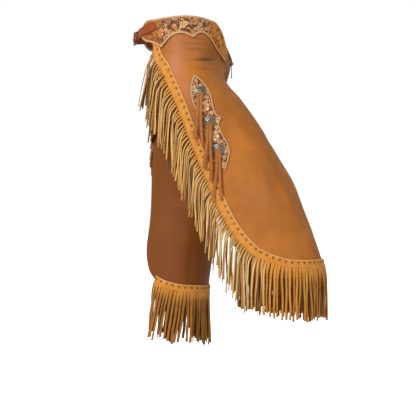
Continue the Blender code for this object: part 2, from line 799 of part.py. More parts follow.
def build_leg_strap(leg, number, row, material):
    """A strap from behind the side patch, round the back of the thigh, to the inner edge."""
    outer_angle, outer_z, inner_angle, inner_z, back_x, gap = row
    laid = -(PANEL_FACE + gap + STRAP_THICK / 2)
    outer_edge = leg.edge_angle(leg.outer_rows, outer_z) + 1.0
    inner_edge = leg.edge_angle(leg.inner_rows, inner_z) - 1.0
    steps = range(STRAP_LAP_STEPS + 1)
    edges = []
    for half in (LEG_STRAP_WIDTH / 2, -LEG_STRAP_WIDTH / 2):
        outside, inside = [], []
        for k in steps:
            share = k / STRAP_LAP_STEPS
            angle = outer_angle + (outer_edge - outer_angle) * share
            outside.append(leg.at(angle, outer_z + half, laid - STRAP_LEAVES * share))
            angle = inner_edge + (inner_angle - inner_edge) * share
            inside.append(leg.at(angle, inner_z + half, laid - STRAP_LEAVES * (1 - share)))
        start, end = outside[-1], inside[0]
        near, far = start.lerp(end, 0.26), start.lerp(end, 0.74)
        near.x = back_x * 0.8 + start.x * 0.2
        far.x = back_x
        free = along_points([tuple(point) for point in (outside[-2], start, near, far, end, inside[1])])
        first, last = free[1][0], free[-2][0]
        between = [Vector(curve_through(free, first + (last - first) * k / 10)) for k in range(1, 10)]
        edges.append(outside + between + inside)
    grid = [[upper, lower] for upper, lower in zip(*edges)]
    return sheet_object(f"leg_strap_{leg.name}_{number + 1}", grid, STRAP_THICK, material)


def back_point(degrees, across, out, legs):
    """A point on the back closure: degrees from the middle of the back, positive to the right."""
    leg = legs["right"] if degrees >= 0 else legs["left"]
    z = curve_through(BACK_STRAP_DROP, degrees)[0]
    return leg.at(-(180.0 - abs(degrees)), z + across, out)


def degrees_at_y(y, legs):
    """Degrees from the middle of the back at a given y on the strap's line."""
    low, high = (0.0, 60.0) if y < 0 else (-60.0, 0.0)
    for _ in range(40):
        middle = (low + high) / 2
        if back_point(middle, 0.0, BUCKLE_STRAP_MID, legs).y > y:
            low = middle
        else:
            high = middle
    return (low + high) / 2


def strap_grid(rows, first, last, legs, count):
    """Rows of points along a back strap, with the corners of its first end rounded off."""
    grid = []
    for k in range(count + 1):
        degrees = first + (last - first) * k / count
        out = curve_through(rows, degrees)[0]
        from_end = abs(degrees - first) * METRES_PER_DEGREE
        half = BACK_STRAP_WIDTH / 2
        if from_end < STRAP_END_ROUND:
            half *= 0.55 + 0.45 * math.sqrt(max(0.0, 1 - (1 - from_end / STRAP_END_ROUND) ** 2))
        grid.append([back_point(degrees, part * half, out, legs) for part in (1.0, 0.0, -1.0)])
    return grid


def build_back_closure(legs, materials):
    heel = degrees_at_y(BUCKLE_HEEL_Y - BUCKLE_WIRE - SEAM_GAP, legs)
    grid = strap_grid(BUCKLE_STRAP_OUT, STRAP_START_DEG, heel, legs, 16)
    sheet_object("back_strap_right", grid, STRAP_THICK, materials["strap"])

    grid = strap_grid(BILLET_OUT, -STRAP_START_DEG, BILLET_TIP_DEG, legs, 26)
    middle = (grid[-1][0] + grid[-1][2]) / 2
    grid[-1] = [middle + (point - middle) * 0.55 for point in grid[-1]]
    billet = sheet_object("back_strap_left", grid, STRAP_THICK, materials["strap"])
    cut_prong_hole(billet, legs)

    build_buckle(legs, materials["steel"])
    build_keeper(legs, materials["strap"])


def back_local(y, across, out, legs):
    """A point of the buckle: y across the back, height from the strap's line, distance out."""
    degrees = degrees_at_y(y, legs)
    level = back_point(degrees, 0.0, 0.0, legs)
    return Vector((level.x - out, y, curve_through(BACK_STRAP_DROP, 0.0)[0] + across))


def wire_object(name, path, radius, material, closed=False):
    """A round metal bar along a path, closed into a loop or with filled ends."""
    curve = bpy.data.curves.new(name, "CURVE")
    curve.dimensions = "3D"
    curve.bevel_depth = radius
    curve.bevel_resolution = 2
    curve.use_fill_caps = True
    spline = curve.splines.new("POLY")
    spline.points.add(len(path) - 1)
    for point, place in zip(spline.points, path):
        point.co = (*place, 1.0)
    spline.use_cyclic_u = closed
    return add_object(name, curve, material)


def build_buckle(legs, material):
    """A frame with a heel bar under the billet and a front bar over it, and its prong."""
    heel = back_local(BUCKLE_HEEL_Y, 0.0, BUCKLE_HEEL_OUT, legs)
    front = back_local(BUCKLE_FRONT_Y, 0.0, BUCKLE_FRONT_OUT, legs)
    length = (front - heel).length
    path = []
    for start, middle, height in (
        (0.0, length - BUCKLE_CORNER, BUCKLE_HALF_HEIGHT - BUCKLE_CORNER),
        (90.0, BUCKLE_CORNER, BUCKLE_HALF_HEIGHT - BUCKLE_CORNER),
        (180.0, BUCKLE_CORNER, BUCKLE_CORNER - BUCKLE_HALF_HEIGHT),
        (270.0, length - BUCKLE_CORNER, BUCKLE_CORNER - BUCKLE_HALF_HEIGHT),
    ):
        for k in range(4):
            turn = math.radians(start + 30.0 * k)
            along = middle + BUCKLE_CORNER * math.cos(turn)
            up = height + BUCKLE_CORNER * math.sin(turn)
            path.append(heel.lerp(front, along / length) + Vector((0.0, 0.0, up)))
    wire_object("buckle_frame", path, BUCKLE_WIRE, material, closed=True)

    over_billet = BILLET_MID + STRAP_THICK / 2 + SEAM_GAP + PRONG_RADIUS
    over_bar = BUCKLE_FRONT_OUT + BUCKLE_WIRE + SEAM_GAP + PRONG_RADIUS
    base = back_local(PRONG_HOLE_Y, 0.0, BUCKLE_HEEL_OUT + SEAM_GAP, legs)
    above = back_local(PRONG_HOLE_Y + 2 * PRONG_RADIUS, 0.0, over_billet, legs)
    rest = back_local(BUCKLE_FRONT_Y, 0.0, over_bar, legs)
    tip = back_local(BUCKLE_FRONT_Y + 0.004, 0.0, over_bar - SEAM_GAP, legs)
    wire_object("buckle_prong", [base, above, rest, tip], PRONG_RADIUS, material)


def cut_prong_hole(billet, legs):
    """The hole in the billet that the prong comes up through."""
    mesh = bpy.data.meshes.new("prong_hole")
    tool = bmesh.new()
    bmesh.ops.create_cube(tool, size=1.0)
    bmesh.ops.scale(tool, vec=PRONG_HOLE, verts=tool.verts)
    tool.to_mesh(mesh)
    tool.free()
    cutter = bpy.data.objects.new("prong_hole", mesh)
    cutter.location = back_local(PRONG_HOLE_Y, 0.0, BILLET_MID, legs)
    cutter.hide_render = True
    cutter.display_type = "WIRE"
    cutters.objects.link(cutter)
    cut = billet.modifiers.new("prong hole", "BOOLEAN")
    cut.operation = "DIFFERENCE"
    cut.object = cutter


def build_keeper(legs, material):
    """A loop of leather round the buckle strap and the billet."""
    half = BACK_STRAP_WIDTH / 2 + KEEPER_GAP + KEEPER_THICK / 2
    spacing = STRAP_THICK / 2 + KEEPER_GAP + KEEPER_THICK / 2
    points, faces = [], []
    for y in (KEEPER_Y - KEEPER_LENGTH / 2, KEEPER_Y, KEEPER_Y + KEEPER_LENGTH / 2):
        degrees = degrees_at_y(y, legs)
        low = curve_through(BUCKLE_STRAP_OUT, degrees)[0] - spacing
        high = curve_through(BILLET_OUT, degrees)[0] + spacing
        for out, across in ((low, -half), (low, 0.0), (low, half), (high, half), (high, 0.0), (high, -half)):
            points.append(back_point(degrees, across, out, legs))
    for row in (0, 6):
        for k in range(6):
            after = (k + 1) % 6
            faces.append((row + k, row + after, row + after + 6, row + k + 6))
    return wall_object("strap_keeper", points, faces, KEEPER_THICK, material)


def build_front_lace(legs, material):
    """A thong across the front between the two tips, with two short ends hanging from its middle."""
    half = Vector((0.0, 0.0, LACE_WIDTH / 2))
    right = [legs["right"].at(-angle, LACE_Z, LACE_OUT) for angle in LACE_ANGLES]
    left = [legs["left"].at(-angle, LACE_Z, LACE_OUT) for angle in LACE_ANGLES]
    centre = (right[1] + left[1]) / 2
    knot = Vector((0.0, LACE_WIDTH + LACE_SLIT, 0.0))
    stations = right + [centre - knot, centre + knot] + list(reversed(left))
    upper = [place + half for place in stations]
    lower = [place - half for place in stations]
    count = len(stations)
    points = upper + lower
    faces = []
    for k in range(count - 1):
        if k != 2:
            faces.append((k, k + count, k + count + 1, k + 1))
    slit = [centre - half + Vector((0.0, side * LACE_SLIT, 0.0)) for side in (-1.0, 1.0)]
    points += slit
    first, second = len(points) - 2, len(points) - 1
    faces.append((2, 2 + count, first, second, 3 + count, 3))
    for side, above in ((-1.0, (2 + count, first)), (1.0, (second, 3 + count))):
        tops = [points[index] for index in above]
        for depth, lean in LACE_ENDS:
            below = []
            for top in tops:
                points.append(top + Vector((0.0, side * lean, -depth)))
                below.append(len(points) - 1)
            faces.append((above[0], below[0], below[1], above[1]))
            above = below
    return wall_object("front_lace", points, faces, LACE_THICK, material)


def build_leg(leg, patch, strap_rows, sweep, materials):
    build_panel(leg, materials["panel"])
    build_fringe(leg, materials["fringe"], sweep)
    build_yoke(leg, materials["tooled"])
    patch.build(materials["tooled"])
    for number in range(len(CONCHOS_ALONG)):
        build_concho(patch, number, materials["silver"])
        build_tie(patch, number, materials["tie"])
    for number, row in enumerate(strap_rows):
        build_leg_strap(leg, number, row, materials["strap"])


clear_scene()
parts = bpy.data.collections.new("leather_chaps")
cutters = bpy.data.collections.new("cutters")
bpy.context.scene.collection.children.link(parts)
bpy.context.scene.collection.children.link(cutters)


def main():
    materials = {name: make_material(name) for name in COLOURS}
    right = Leg("right", -1, RIGHT_SECTIONS, RIGHT_FOLDS, RIGHT_OUTER_EDGE, RIGHT_HEM, RIGHT_INNER_EDGE)
    left = Leg("left", 1, LEFT_SECTIONS, LEFT_FOLDS, LEFT_OUTER_EDGE, LEFT_HEM, LEFT_INNER_EDGE)
    legs = {"right": right, "left": left}
    build_leg(right, Patch(right, *RIGHT_PATCH), RIGHT_LEG_STRAPS, SWEEP_RIGHT, materials)
    build_leg(left, Patch(left, *LEFT_PATCH), LEFT_LEG_STRAPS, SWEEP_LEFT, materials)
    build_back_closure(legs, materials)
    build_front_lace(legs, materials["tie"])


main()
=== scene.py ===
"""Looks of a pair of short fringed leather chaps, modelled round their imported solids.

Metres. +X is the way they walk, +Y is the left leg's side, +Z is up, and the origin is the middle of the
waist. Both legs are surfaces given by an angle round the leg, a height and a distance out, as in the solids.
"""

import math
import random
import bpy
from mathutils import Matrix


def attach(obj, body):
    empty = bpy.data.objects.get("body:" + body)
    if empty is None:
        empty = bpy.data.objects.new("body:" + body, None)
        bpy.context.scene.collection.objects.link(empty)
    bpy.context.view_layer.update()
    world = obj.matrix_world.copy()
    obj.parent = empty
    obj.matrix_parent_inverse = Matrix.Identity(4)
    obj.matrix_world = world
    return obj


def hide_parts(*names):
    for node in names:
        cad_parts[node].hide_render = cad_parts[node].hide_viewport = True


bl_info = {
    "name": "Fringed Leather Chaps",
    "version": (1, 0, 0),
    "blender": (4, 5, 0),
    "location": "View3D > Sidebar > Chaps",
    "description": "Models the leather, fringe, tooling and metal of a pair of worn chaps",
    "category": "Object",
}

import bmesh
import bpy
from mathutils import Matrix, Vector, noise

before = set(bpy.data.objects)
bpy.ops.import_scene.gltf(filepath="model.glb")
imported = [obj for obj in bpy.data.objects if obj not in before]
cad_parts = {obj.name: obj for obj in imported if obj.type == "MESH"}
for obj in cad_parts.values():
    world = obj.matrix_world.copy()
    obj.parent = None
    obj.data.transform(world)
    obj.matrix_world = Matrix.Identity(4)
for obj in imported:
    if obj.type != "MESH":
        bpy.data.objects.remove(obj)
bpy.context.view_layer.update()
BODY = "root"

# Leathers and hardware, thickness or width
PANEL_THICK = 0.0020
FRINGE_THICK = 0.0018
PATCH_THICK = 0.0022
YOKE_THICK = 0.0032
STRAP_THICK = 0.0025
SEAM_GAP = 0.0005
OVERLAY_GAP = 0.0010
TIE_THICK = 0.0018

# Fringe strip: how far it lies on the panel, how far it reaches past the edge, and its strands
STRIP_ON_PANEL = 0.014
STRIP_PAST_SIDE = 0.021
STRIP_PAST_HEM = 0.015
STRIP_UNDER_YOKE = 0.012
STRIP_LIFT = 0.0018
STRAND_LENGTH = 0.146
END_CLEAR = 0.004
STRIP_FREED = (0.052, 0.088)  # depths between which the strip comes out from under the yoke
SWEEP_RIGHT = 3.0
SWEEP_LEFT = 12.6

# Layers over the middle of the panel's thickness
PANEL_FACE = PANEL_THICK / 2
STRIP_MID = PANEL_FACE + OVERLAY_GAP + FRINGE_THICK / 2
STRIP_FACE = STRIP_MID + FRINGE_THICK / 2
PATCH_MID = PANEL_FACE + OVERLAY_GAP + PATCH_THICK / 2
PATCH_FACE = PATCH_MID + PATCH_THICK / 2
YOKE_MID = PANEL_FACE + SEAM_GAP + YOKE_THICK / 2
YOKE_MID_ON_STRIP = STRIP_FACE + SEAM_GAP + YOKE_THICK / 2
STRAP_MID_ON_YOKE = YOKE_MID_ON_STRIP + YOKE_THICK / 2 + SEAM_GAP + STRAP_THICK / 2

# Along an edge, this many degrees count as long as one metre of height
DEGREES_PER_METRE = 200.0

# Sections of each leg from the waist down. Around the waist both legs share the ring of the hips; lower down
# each ring is the leather round one thigh. Half-lengths reach forward, back on the outside, back on the
# inside, outward and inward.
RIGHT_SECTIONS = (  # z, x, y, front, back_out, back_in, outer, inner
    (0.04, 0.0, 0.0, 0.127, 0.13, 0.13, 0.171, 0.15), (0.0, 0.0, 0.0, 0.128, 0.131, 0.131, 0.174, 0.15),
    (-0.05, 0.0, 0.0, 0.127, 0.133, 0.133, 0.178, 0.15), (-0.095, 0.0, -0.004, 0.121, 0.136, 0.13, 0.176, 0.14),
    (-0.145, 0.01, -0.045, 0.107, 0.15, 0.12, 0.144, 0.09),
    (-0.205, 0.05, -0.085, 0.111, 0.172, 0.105, 0.114, 0.079),
    (-0.27, 0.09, -0.097, 0.117, 0.186, 0.105, 0.106, 0.085),
    (-0.37, 0.145, -0.103, 0.122, 0.19, 0.112, 0.107, 0.089),
    (-0.43, 0.176, -0.106, 0.127, 0.19, 0.116, 0.11, 0.091),
    (-0.515, 0.21, -0.109, 0.127, 0.19, 0.118, 0.115, 0.092),
    (-0.607, 0.24, -0.112, 0.131, 0.19, 0.12, 0.122, 0.094),
    (-0.66, 0.255, -0.113, 0.133, 0.19, 0.122, 0.126, 0.095),
    (-0.86, 0.285, -0.115, 0.14, 0.19, 0.128, 0.138, 0.097),
)
LEFT_SECTIONS = (  # z, x, y, front, back_out, back_in, outer, inner
    (0.04, 0.0, 0.0, 0.13, 0.13, 0.13, 0.171, 0.15), (0.0, 0.0, 0.0, 0.131, 0.131, 0.131, 0.174, 0.15),
    (-0.05, 0.0, 0.0, 0.136, 0.133, 0.133, 0.178, 0.15), (-0.095, 0.0, 0.004, 0.137, 0.136, 0.13, 0.176, 0.14),
    (-0.145, 0.0, 0.045, 0.123, 0.142, 0.12, 0.144, 0.09),
    (-0.205, 0.0, 0.085, 0.11, 0.15, 0.103, 0.114, 0.079),
    (-0.3, -0.002, 0.093, 0.098, 0.152, 0.099, 0.107, 0.082),
    (-0.45, -0.002, 0.096, 0.093, 0.152, 0.098, 0.112, 0.084),
    (-0.55, -0.004, 0.098, 0.095, 0.152, 0.1, 0.118, 0.086),
    (-0.64, -0.01, 0.1, 0.093, 0.152, 0.105, 0.126, 0.088),
    (-0.735, -0.012, 0.102, 0.083, 0.15, 0.096, 0.132, 0.09),
    (-0.93, -0.014, 0.104, 0.086, 0.15, 0.096, 0.142, 0.092),
)

MEAN_RADIUS = 0.12

# Cut edges. The outer edge is drawn as seen from the side; the others by the angle round the leg, from the
# front, negative outward and positive inward.
RIGHT_OUTER_EDGE = (  # x, z
    (-0.086, -0.012), (-0.068, -0.091), (-0.0418, -0.139), (-0.0138, -0.205), (0.013, -0.273), (0.051, -0.371),
    (0.0842, -0.446), (0.1295, -0.543), (0.1597, -0.589), (0.1998, -0.63),
)
LEFT_OUTER_EDGE = (  # x, z
    (-0.086, -0.012), (-0.072, -0.091), (-0.059, -0.16), (-0.049, -0.24), (-0.04, -0.33), (-0.031, -0.42),
    (-0.022, -0.51), (-0.012, -0.595), (0.001, -0.655), (0.013, -0.692), (0.03, -0.72),
)
RIGHT_HEM = (  # angle, z
    (-93.0, -0.65), (-82.0, -0.66), (-64.0, -0.6645), (-30.0, -0.665), (0.0, -0.664), (60.0, -0.661),
    (100.0, -0.655), (124.0, -0.645), (138.0, -0.634),
)
LEFT_HEM = (  # angle, z
    (-42.0, -0.737), (-20.0, -0.745), (0.0, -0.747), (60.0, -0.745), (92.0, -0.741), (124.0, -0.726),
    (139.0, -0.714),
)
TOP_EDGE = (  # angle, z
    (-118.0, -0.006), (-100.0, 0.004), (-70.0, 0.004), (-50.0, -0.006),
)
RIGHT_INNER_EDGE = (  # angle, z
    (-50.0, -0.006), (-38.0, -0.034), (-28.0, -0.062), (-15.0, -0.086), (-7.0, -0.12), (8.0, -0.147),
    (34.0, -0.176), (62.0, -0.205), (90.0, -0.236), (117.0, -0.272), (140.0, -0.318), (152.0, -0.38),
    (156.0, -0.46), (156.0, -0.55), (150.0, -0.605), (138.0, -0.634),
)
LEFT_INNER_EDGE = (  # angle, z
    (-50.0, -0.006), (-38.0, -0.034), (-28.0, -0.062), (-15.0, -0.086), (-7.0, -0.12), (8.0, -0.147),
    (34.0, -0.176), (62.0, -0.205), (90.0, -0.236), (120.0, -0.272), (146.0, -0.318), (160.0, -0.4),
    (163.0, -0.5), (164.0, -0.62), (156.0, -0.68), (139.0, -0.714),
)

# Largest folds, as troughs in the leather: middle, half-widths, depth, and how much the trough drops outward
RIGHT_FOLDS = (  # angle, z, half_angle, half_height, depth, slope
    (-42.0, -0.11, 34.0, 0.02, 0.006, 0.00015), (-28.0, -0.47, 15.0, 0.11, 0.005, 0.0),
    (62.0, -0.48, 17.0, 0.12, 0.006, 0.0),
)
LEFT_FOLDS = (  # angle, z, half_angle, half_height, depth, slope
    (-34.0, -0.55, 15.0, 0.11, 0.005, 0.0), (44.0, -0.56, 17.0, 0.11, 0.005, 0.0),
    (96.0, -0.54, 16.0, 0.11, 0.005, 0.0),
)

# Tooled yoke, drawn by angle and z. Each scallop of its lower edge runs between two points.
YOKE_UPPER = (  # share along, angle, z
    (0.0, -147.5, -0.006), (0.05, -142.5, 0.0058), (0.23, -120.0, 0.014), (0.4, -98.6, 0.0193),
    (0.52, -84.7, 0.0205), (0.64, -70.3, 0.0181), (0.76, -54.7, 0.011), (0.84, -44.7, 0.003),
    (0.89, -36.0, -0.016), (0.94, -26.0, -0.048), (1.0, -12.5, -0.086),
)
YOKE_SCALLOPS = (  # share along, angle, z
    ((0.0, -147.5, -0.033), (0.06, -141.0, -0.044), (0.15, -129.0, -0.052), (0.26, -115.0, -0.067)),
    ((0.26, -115.0, -0.067), (0.34, -104.9, -0.0399), (0.46, -91.2, -0.029), (0.58, -77.2, -0.0401)),
    (
        (0.58, -77.2, -0.0401), (0.65, -68.5, -0.0266), (0.72, -58.0, -0.036), (0.8, -46.0, -0.064),
        (0.9, -28.0, -0.09), (1.0, -11.0, -0.101),
    ),
)
YOKE_RISE = (-104.0, -114.0)  # angles between which the yoke climbs onto the strip's end

# Tooled side patch, its half-width down its length, and the three conchos on it
PATCH_HALF_WIDTHS = (  # along, half-width
    (0.0, 0.0012), (0.01, 0.0085), (0.027, 0.0185), (0.052, 0.0255), (0.078, 0.0265), (0.1, 0.024),
    (0.122, 0.0255), (0.136, 0.033), (0.148, 0.024), (0.165, 0.023), (0.19, 0.0255), (0.214, 0.03),
    (0.228, 0.0285), (0.248, 0.019), (0.262, 0.0095), (0.272, 0.0015),
)
RIGHT_PATCH = (0.0297, -0.1446, 18.4)  # x and z of its upper point, degrees forward of straight down
LEFT_PATCH = (0.0060, -0.1500, 4.0)
CONCHOS_ALONG = (0.051, 0.137, 0.216)
CONCHO_RADIUS = 0.0168
CONCHO_SEAT = 0.0005
CONCHO_HEIGHT = 0.0048
TIE_LENGTHS = ((0.128, 0.140), (0.126, 0.160), (0.142, 0.134))
TIE_OUT = (  # rows of distance below the concho's middle, distance out from the patch's face, spread
    ((0.018, 0.0073, 0.0), (0.045, 0.0086, 0.001), (0.068, 0.0108, 0.002), (0.1, 0.0108, 0.003)),
    ((0.018, 0.0073, 0.0), (0.045, 0.0084, 0.0012), (0.064, 0.0106, 0.0025), (0.1, 0.0106, 0.0035)),
    ((0.018, 0.0071, 0.0), (0.04, 0.0044, 0.001), (0.07, 0.0036, 0.0022), (0.1, 0.0038, 0.0035)),
)
TIE_TIP_OUT = (0.0118, 0.0078, 0.0044)
TIE_TIP_SPREAD = 0.0050
THONG_WIDTH = 0.0079

# Leg straps behind the thigh
LEG_STRAP_WIDTH = 0.022
STRAP_LEAVES = 0.0024  # how far a strap has left the panel where it passes its edge
RIGHT_LEG_STRAPS = (  # outer angle, outer z, inner angle, inner z, x behind the thigh, gap to the panel
    (-96.0, -0.196, 92.0, -0.276, -0.078, 0.0019), (-98.0, -0.276, 118.0, -0.338, -0.056, 0.0019),
    (-100.0, -0.347, 134.0, -0.404, -0.026, 0.0019),
)
LEFT_LEG_STRAPS = (  # outer angle, outer z, inner angle, inner z, x behind the thigh, gap to the panel
    (-84.0, -0.206, 92.0, -0.276, -0.093, 0.0019), (-84.0, -0.283, 122.0, -0.342, -0.096, 0.0019),
    (-84.0, -0.362, 138.0, -0.414, -0.097, 0.001),
)

# Back closure
BACK_STRAP_WIDTH = 0.025
BACK_STRAP_DROP = (  # degrees from the middle of the back, z
    (-58.0, -0.006), (-45.0, -0.013), (-28.0, -0.02), (0.0, -0.027), (28.0, -0.02), (45.0, -0.013),
    (58.0, -0.006),
)
METRES_PER_DEGREE = 0.0028
STRAP_END_ROUND = 0.010
STRAP_START_DEG = 57.0
BUCKLE_STRAP_MID = 0.0050
BILLET_MID = 0.0090
BILLET_TIP_DEG = 22.0
BUCKLE_WIRE = 0.0018
BUCKLE_HEEL_Y = -0.0125
PRONG_HOLE = (0.012, 0.0080, 0.0044)
PRONG_HOLE_Y = BUCKLE_HEEL_Y + 0.0040
KEEPER_Y = -0.032
KEEPER_LENGTH = 0.010
KEEPER_THICK = 0.0014
KEEPER_GAP = 0.0008
BUCKLE_STRAP_OUT = (  # degrees from the middle of the back, distance out
    (0.0, BUCKLE_STRAP_MID),
    (19.0, BUCKLE_STRAP_MID + 0.0002),
    (30.0, STRAP_MID_ON_YOKE),
    (60.0, STRAP_MID_ON_YOKE),
)
BILLET_OUT = (  # degrees from the middle of the back, distance out
    (-60.0, STRAP_MID_ON_YOKE),
    (-30.0, STRAP_MID_ON_YOKE),
    (-14.0, BILLET_MID),
    (0.0, BILLET_MID),
    (BILLET_TIP_DEG, BILLET_MID + 0.0010),
)

# Front lace
LACE_WIDTH = 0.006
LACE_THICK = 0.0020
LACE_Z = -0.093
LACE_ANGLES = (18.0, 12.0)
LACE_OUT = YOKE_MID + YOKE_THICK / 2 + 2 * SEAM_GAP + LACE_THICK / 2
LACE_ENDS = ((0.020, 0.004), (0.045, 0.009))  # depth, how far the end leans out

# Camera, floor and lights
PHOTO_PIXELS = 416
CAMERA_FOCUS_PIXELS = 1573.0
CAMERA_SENSOR = 36.0
CAMERA_PLACE = (0.0687, -4.5, -0.509)
FLOOR_Z = -1.05
FLOOR_HALF = 30.0
FLOOR_COLOUR = (0.92, 0.92, 0.91, 1.0)
WORLD_COLOUR = (1.0, 1.0, 1.0, 1.0)
WORLD_STRENGTH = 0.40
WORLD_SEEN = 1.0
FLOOR_GLOW = 1.0
LIGHT_TARGET = (0.10, -0.05, -0.45)
LIGHTS = (  # name, place, size, power
    ("key", (-1.9, -3.3, 2.0), 1.4, 110.0), ("fill", (2.2, -3.0, 0.2), 2.2, 9.0),
    ("top", (-0.4, 1.4, 2.4), 2.0, 26.0),
)

# What only the looks need
# pinkish colour of the painted highlight on the right panel
PAINTED_HIGHLIGHT_COLOUR = (0.57, 0.205, 0.105, 1.0)
TOOLED_ORANGE = (0.80, 0.32, 0.085)
PAINTED_SHADE_GAINS = (0.43, 0.37, 0.36)  # of red, green and blue, where smooth leather gets painted shade
STRAND_SHADE_GAINS = (0.13, 0.12, 0.25)  # the same for the painted shade of the strands
TOOLED_LEATHERS = ("tooled leather", "cut edge leather")
PANEL_GRID = (132, 176)
YOKE_GRID = (440, 76)
PATCH_GRID = (62, 272)
BACK_STRAP_GRID = (8, 90)
KEEPER_GRID = (32, 4)
HAND_DEPTHS = (0.0011, 0.00035)  # of the leather's broad and fine unevenness
FULL_CREASE = 0.0026  # a sharp crease this deep gets full painted shade
STRIP_COLUMN = 0.0032
STRIP_OUT = STRIP_MID + 0.0003
STRIP_SHADE = 0.85
BUNCHES = (4, 4, 6, 6, 8)  # how many strands hang drawn together
UNDER_WIDER = 1.20
SIDE_STRAND_NARROWER = 0.32
PANEL_ROW_POWER = 1.3
SHARP_CREASE = 0.0050  # creases less high than this get painted shade inside
STRIP_ROWS = 10
STRAND_STEPS = 16
STRIP_WHOLE = 0.55  # share of the strip past the edge that the slits leave whole
SLIT_UNEVEN = 0.16
STRAND_TURN = 0.048  # length in which a strand turns down
STRAND_SLANT = 0.34  # how far a strand already points down where it leaves the strip
STRAND_EDGE_SHADE = 0.68  # how much painted shade a strand gets along its cut sides, between it and its neighbours
LOW_UNDER_SHADE = 0.34  # the under layer's painted shade is this much lighter low on the near side
HEM_ROOT_WIDER = 0.20  # share of its width that a hem strand is wider where its slit begins
HEM_NARROWS_TO = 0.45  # share of its length over which it narrows
ROOT_JITTER = 0.0011  # how unevenly the slits are spaced
UNDER_SHORTER = (0.010, 0.008)  # how much shorter the under layer's strands are, and how much that varies
FAR_HEM_LEAN = 9.0  # degrees back, growing between these two places along x
FAR_HEM_LEAN_X = (0.060, -0.050)
PALEST_Z = (0.30, 0.50)  # depths between which the side strands turn palest
TOP_SWEEP = 9.0  # the uppermost strands lean back this many degrees more
TOP_SWEEP_DEPTHS = (0.26, 0.08)
BEHIND = 0.0022  # how far the strands of the under layer start inside the others
STRAND_SPARE = 0.008  # of the strand, where the slit reaches into the strip
HEM_TRIM = 0.008
STRAND_ROOT = 0.0030
FIRST_SCENE_STRAND_Z = -0.070
YOKE_BORDER = 0.0062
YOKE_TOP_BORDER = 0.0046
YOKE_WALL = 0.0020
YOKE_LEAF_PITCH = 0.0084
YOKE_LEAF_SIZE = 0.0205
PATCH_LEAF_PITCH = 0.0080
PATCH_LEAF_SIZE = 0.0165
CURL_SHARE = 0.22  # of the foliage that curls up
MOTIF_BIN = 0.010
PATCH_BORDER = 0.0042
PATCH_WALL = 0.0013
CONCHO_STEPS = 108
CONCHO_BOSS = 0.0035
CONCHO_ROPE_START = 0.0118
CONCHO_RIM_START = 0.0136
CONCHO_PROFILE = (  # radius, height
    (0.0, 0.0), (0.016, 0.0), (0.0167, 0.0003), (0.0168, 0.0009), (0.016, 0.0013), (0.015, 0.0014),
    (0.0142, 0.0014), (0.0137, 0.0013), (0.0132, 0.0016), (0.0127, 0.002), (0.0122, 0.002), (0.0117, 0.0019),
    (0.0108, 0.0025), (0.0098, 0.0031), (0.0088, 0.0036), (0.0076, 0.0041), (0.0064, 0.0044), (0.0052, 0.0046),
    (0.004, 0.0047), (0.0026, 0.0048), (0.0013, 0.0048), (0.0, 0.0048),
)
TIE_LOOP_STEPS = 12
TIE_OVER = CONCHO_SEAT + CONCHO_HEIGHT + SEAM_GAP + TIE_THICK / 2
TIE_STEPS = 36
LACE_STEPS = 40
LACE_END_STEPS = 16
LAP_STATIONS = 10
FREE_STATIONS = 40
SPOT_INSET = 0.0065
SPOTS_START_Z = -0.066
STITCH_RADIUS = 0.00042
INNER_SHADE_ANGLES = (-14.0, 18.0)  # painted shade darkens the inner side of a leg from here on
INNER_FRINGE_SHADE = 0.48  # how much painted shade darkens the fringe there
PAINTED_HIGHLIGHT_PLACES = (  # x, z, half-width, half-height, amount of painted highlight, on the right panel
    (-0.014, -0.1, 0.02, 0.055, 0.75), (0.045, -0.088, 0.02, 0.0034, 0.4), (0.05, -0.108, 0.026, 0.0036, 0.4),
    (0.04, -0.065, 0.02, 0.0034, 0.25), (0.026, -0.06, 0.026, 0.03, 0.42), (0.012, -0.19, 0.018, 0.045, 0.35),
    (0.078, -0.1, 0.02, 0.012, 0.35), (0.122, -0.125, 0.014, 0.04, 0.35), (0.205, -0.48, 0.04, 0.05, 0.25),
)
PAINTED_SHADE_PLACES = (  # x, z, half-width, half-height, amount of painted shade, on the right panel
    (0.086, -0.08, 0.026, 0.022, 0.45), (0.205, -0.572, 0.034, 0.03, 0.4), (0.11, -0.3, 0.02, 0.09, 0.25),
    (0.15, -0.56, 0.03, 0.03, 0.28), (0.245, -0.45, 0.026, 0.12, 0.22), (0.18, -0.23, 0.024, 0.06, 0.22),
    (0.17, -0.51, 0.045, 0.07, 0.34), (0.245, -0.56, 0.06, 0.045, 0.14),
)
SHADED_PLACES = (  # x, z, half-width, half-height, amount, on the left panel
    (0.03, -0.65, 0.034, 0.075, 0.36), (-0.06, -0.3, 0.02, 0.12, 0.14),
)
LIFTED_SHADE_PLACES = (  # x, z, half-width, half-height, amount by which the painted shade is lifted as a painted highlight, on the left panel
    (-0.015, -0.49, 0.034, 0.02, 0.16), (-0.05, -0.56, 0.03, 0.03, 0.12), (0.0, -0.59, 0.026, 0.014, 0.12),
)
LEG_STRAPS = {"right": RIGHT_LEG_STRAPS, "left": LEFT_LEG_STRAPS}


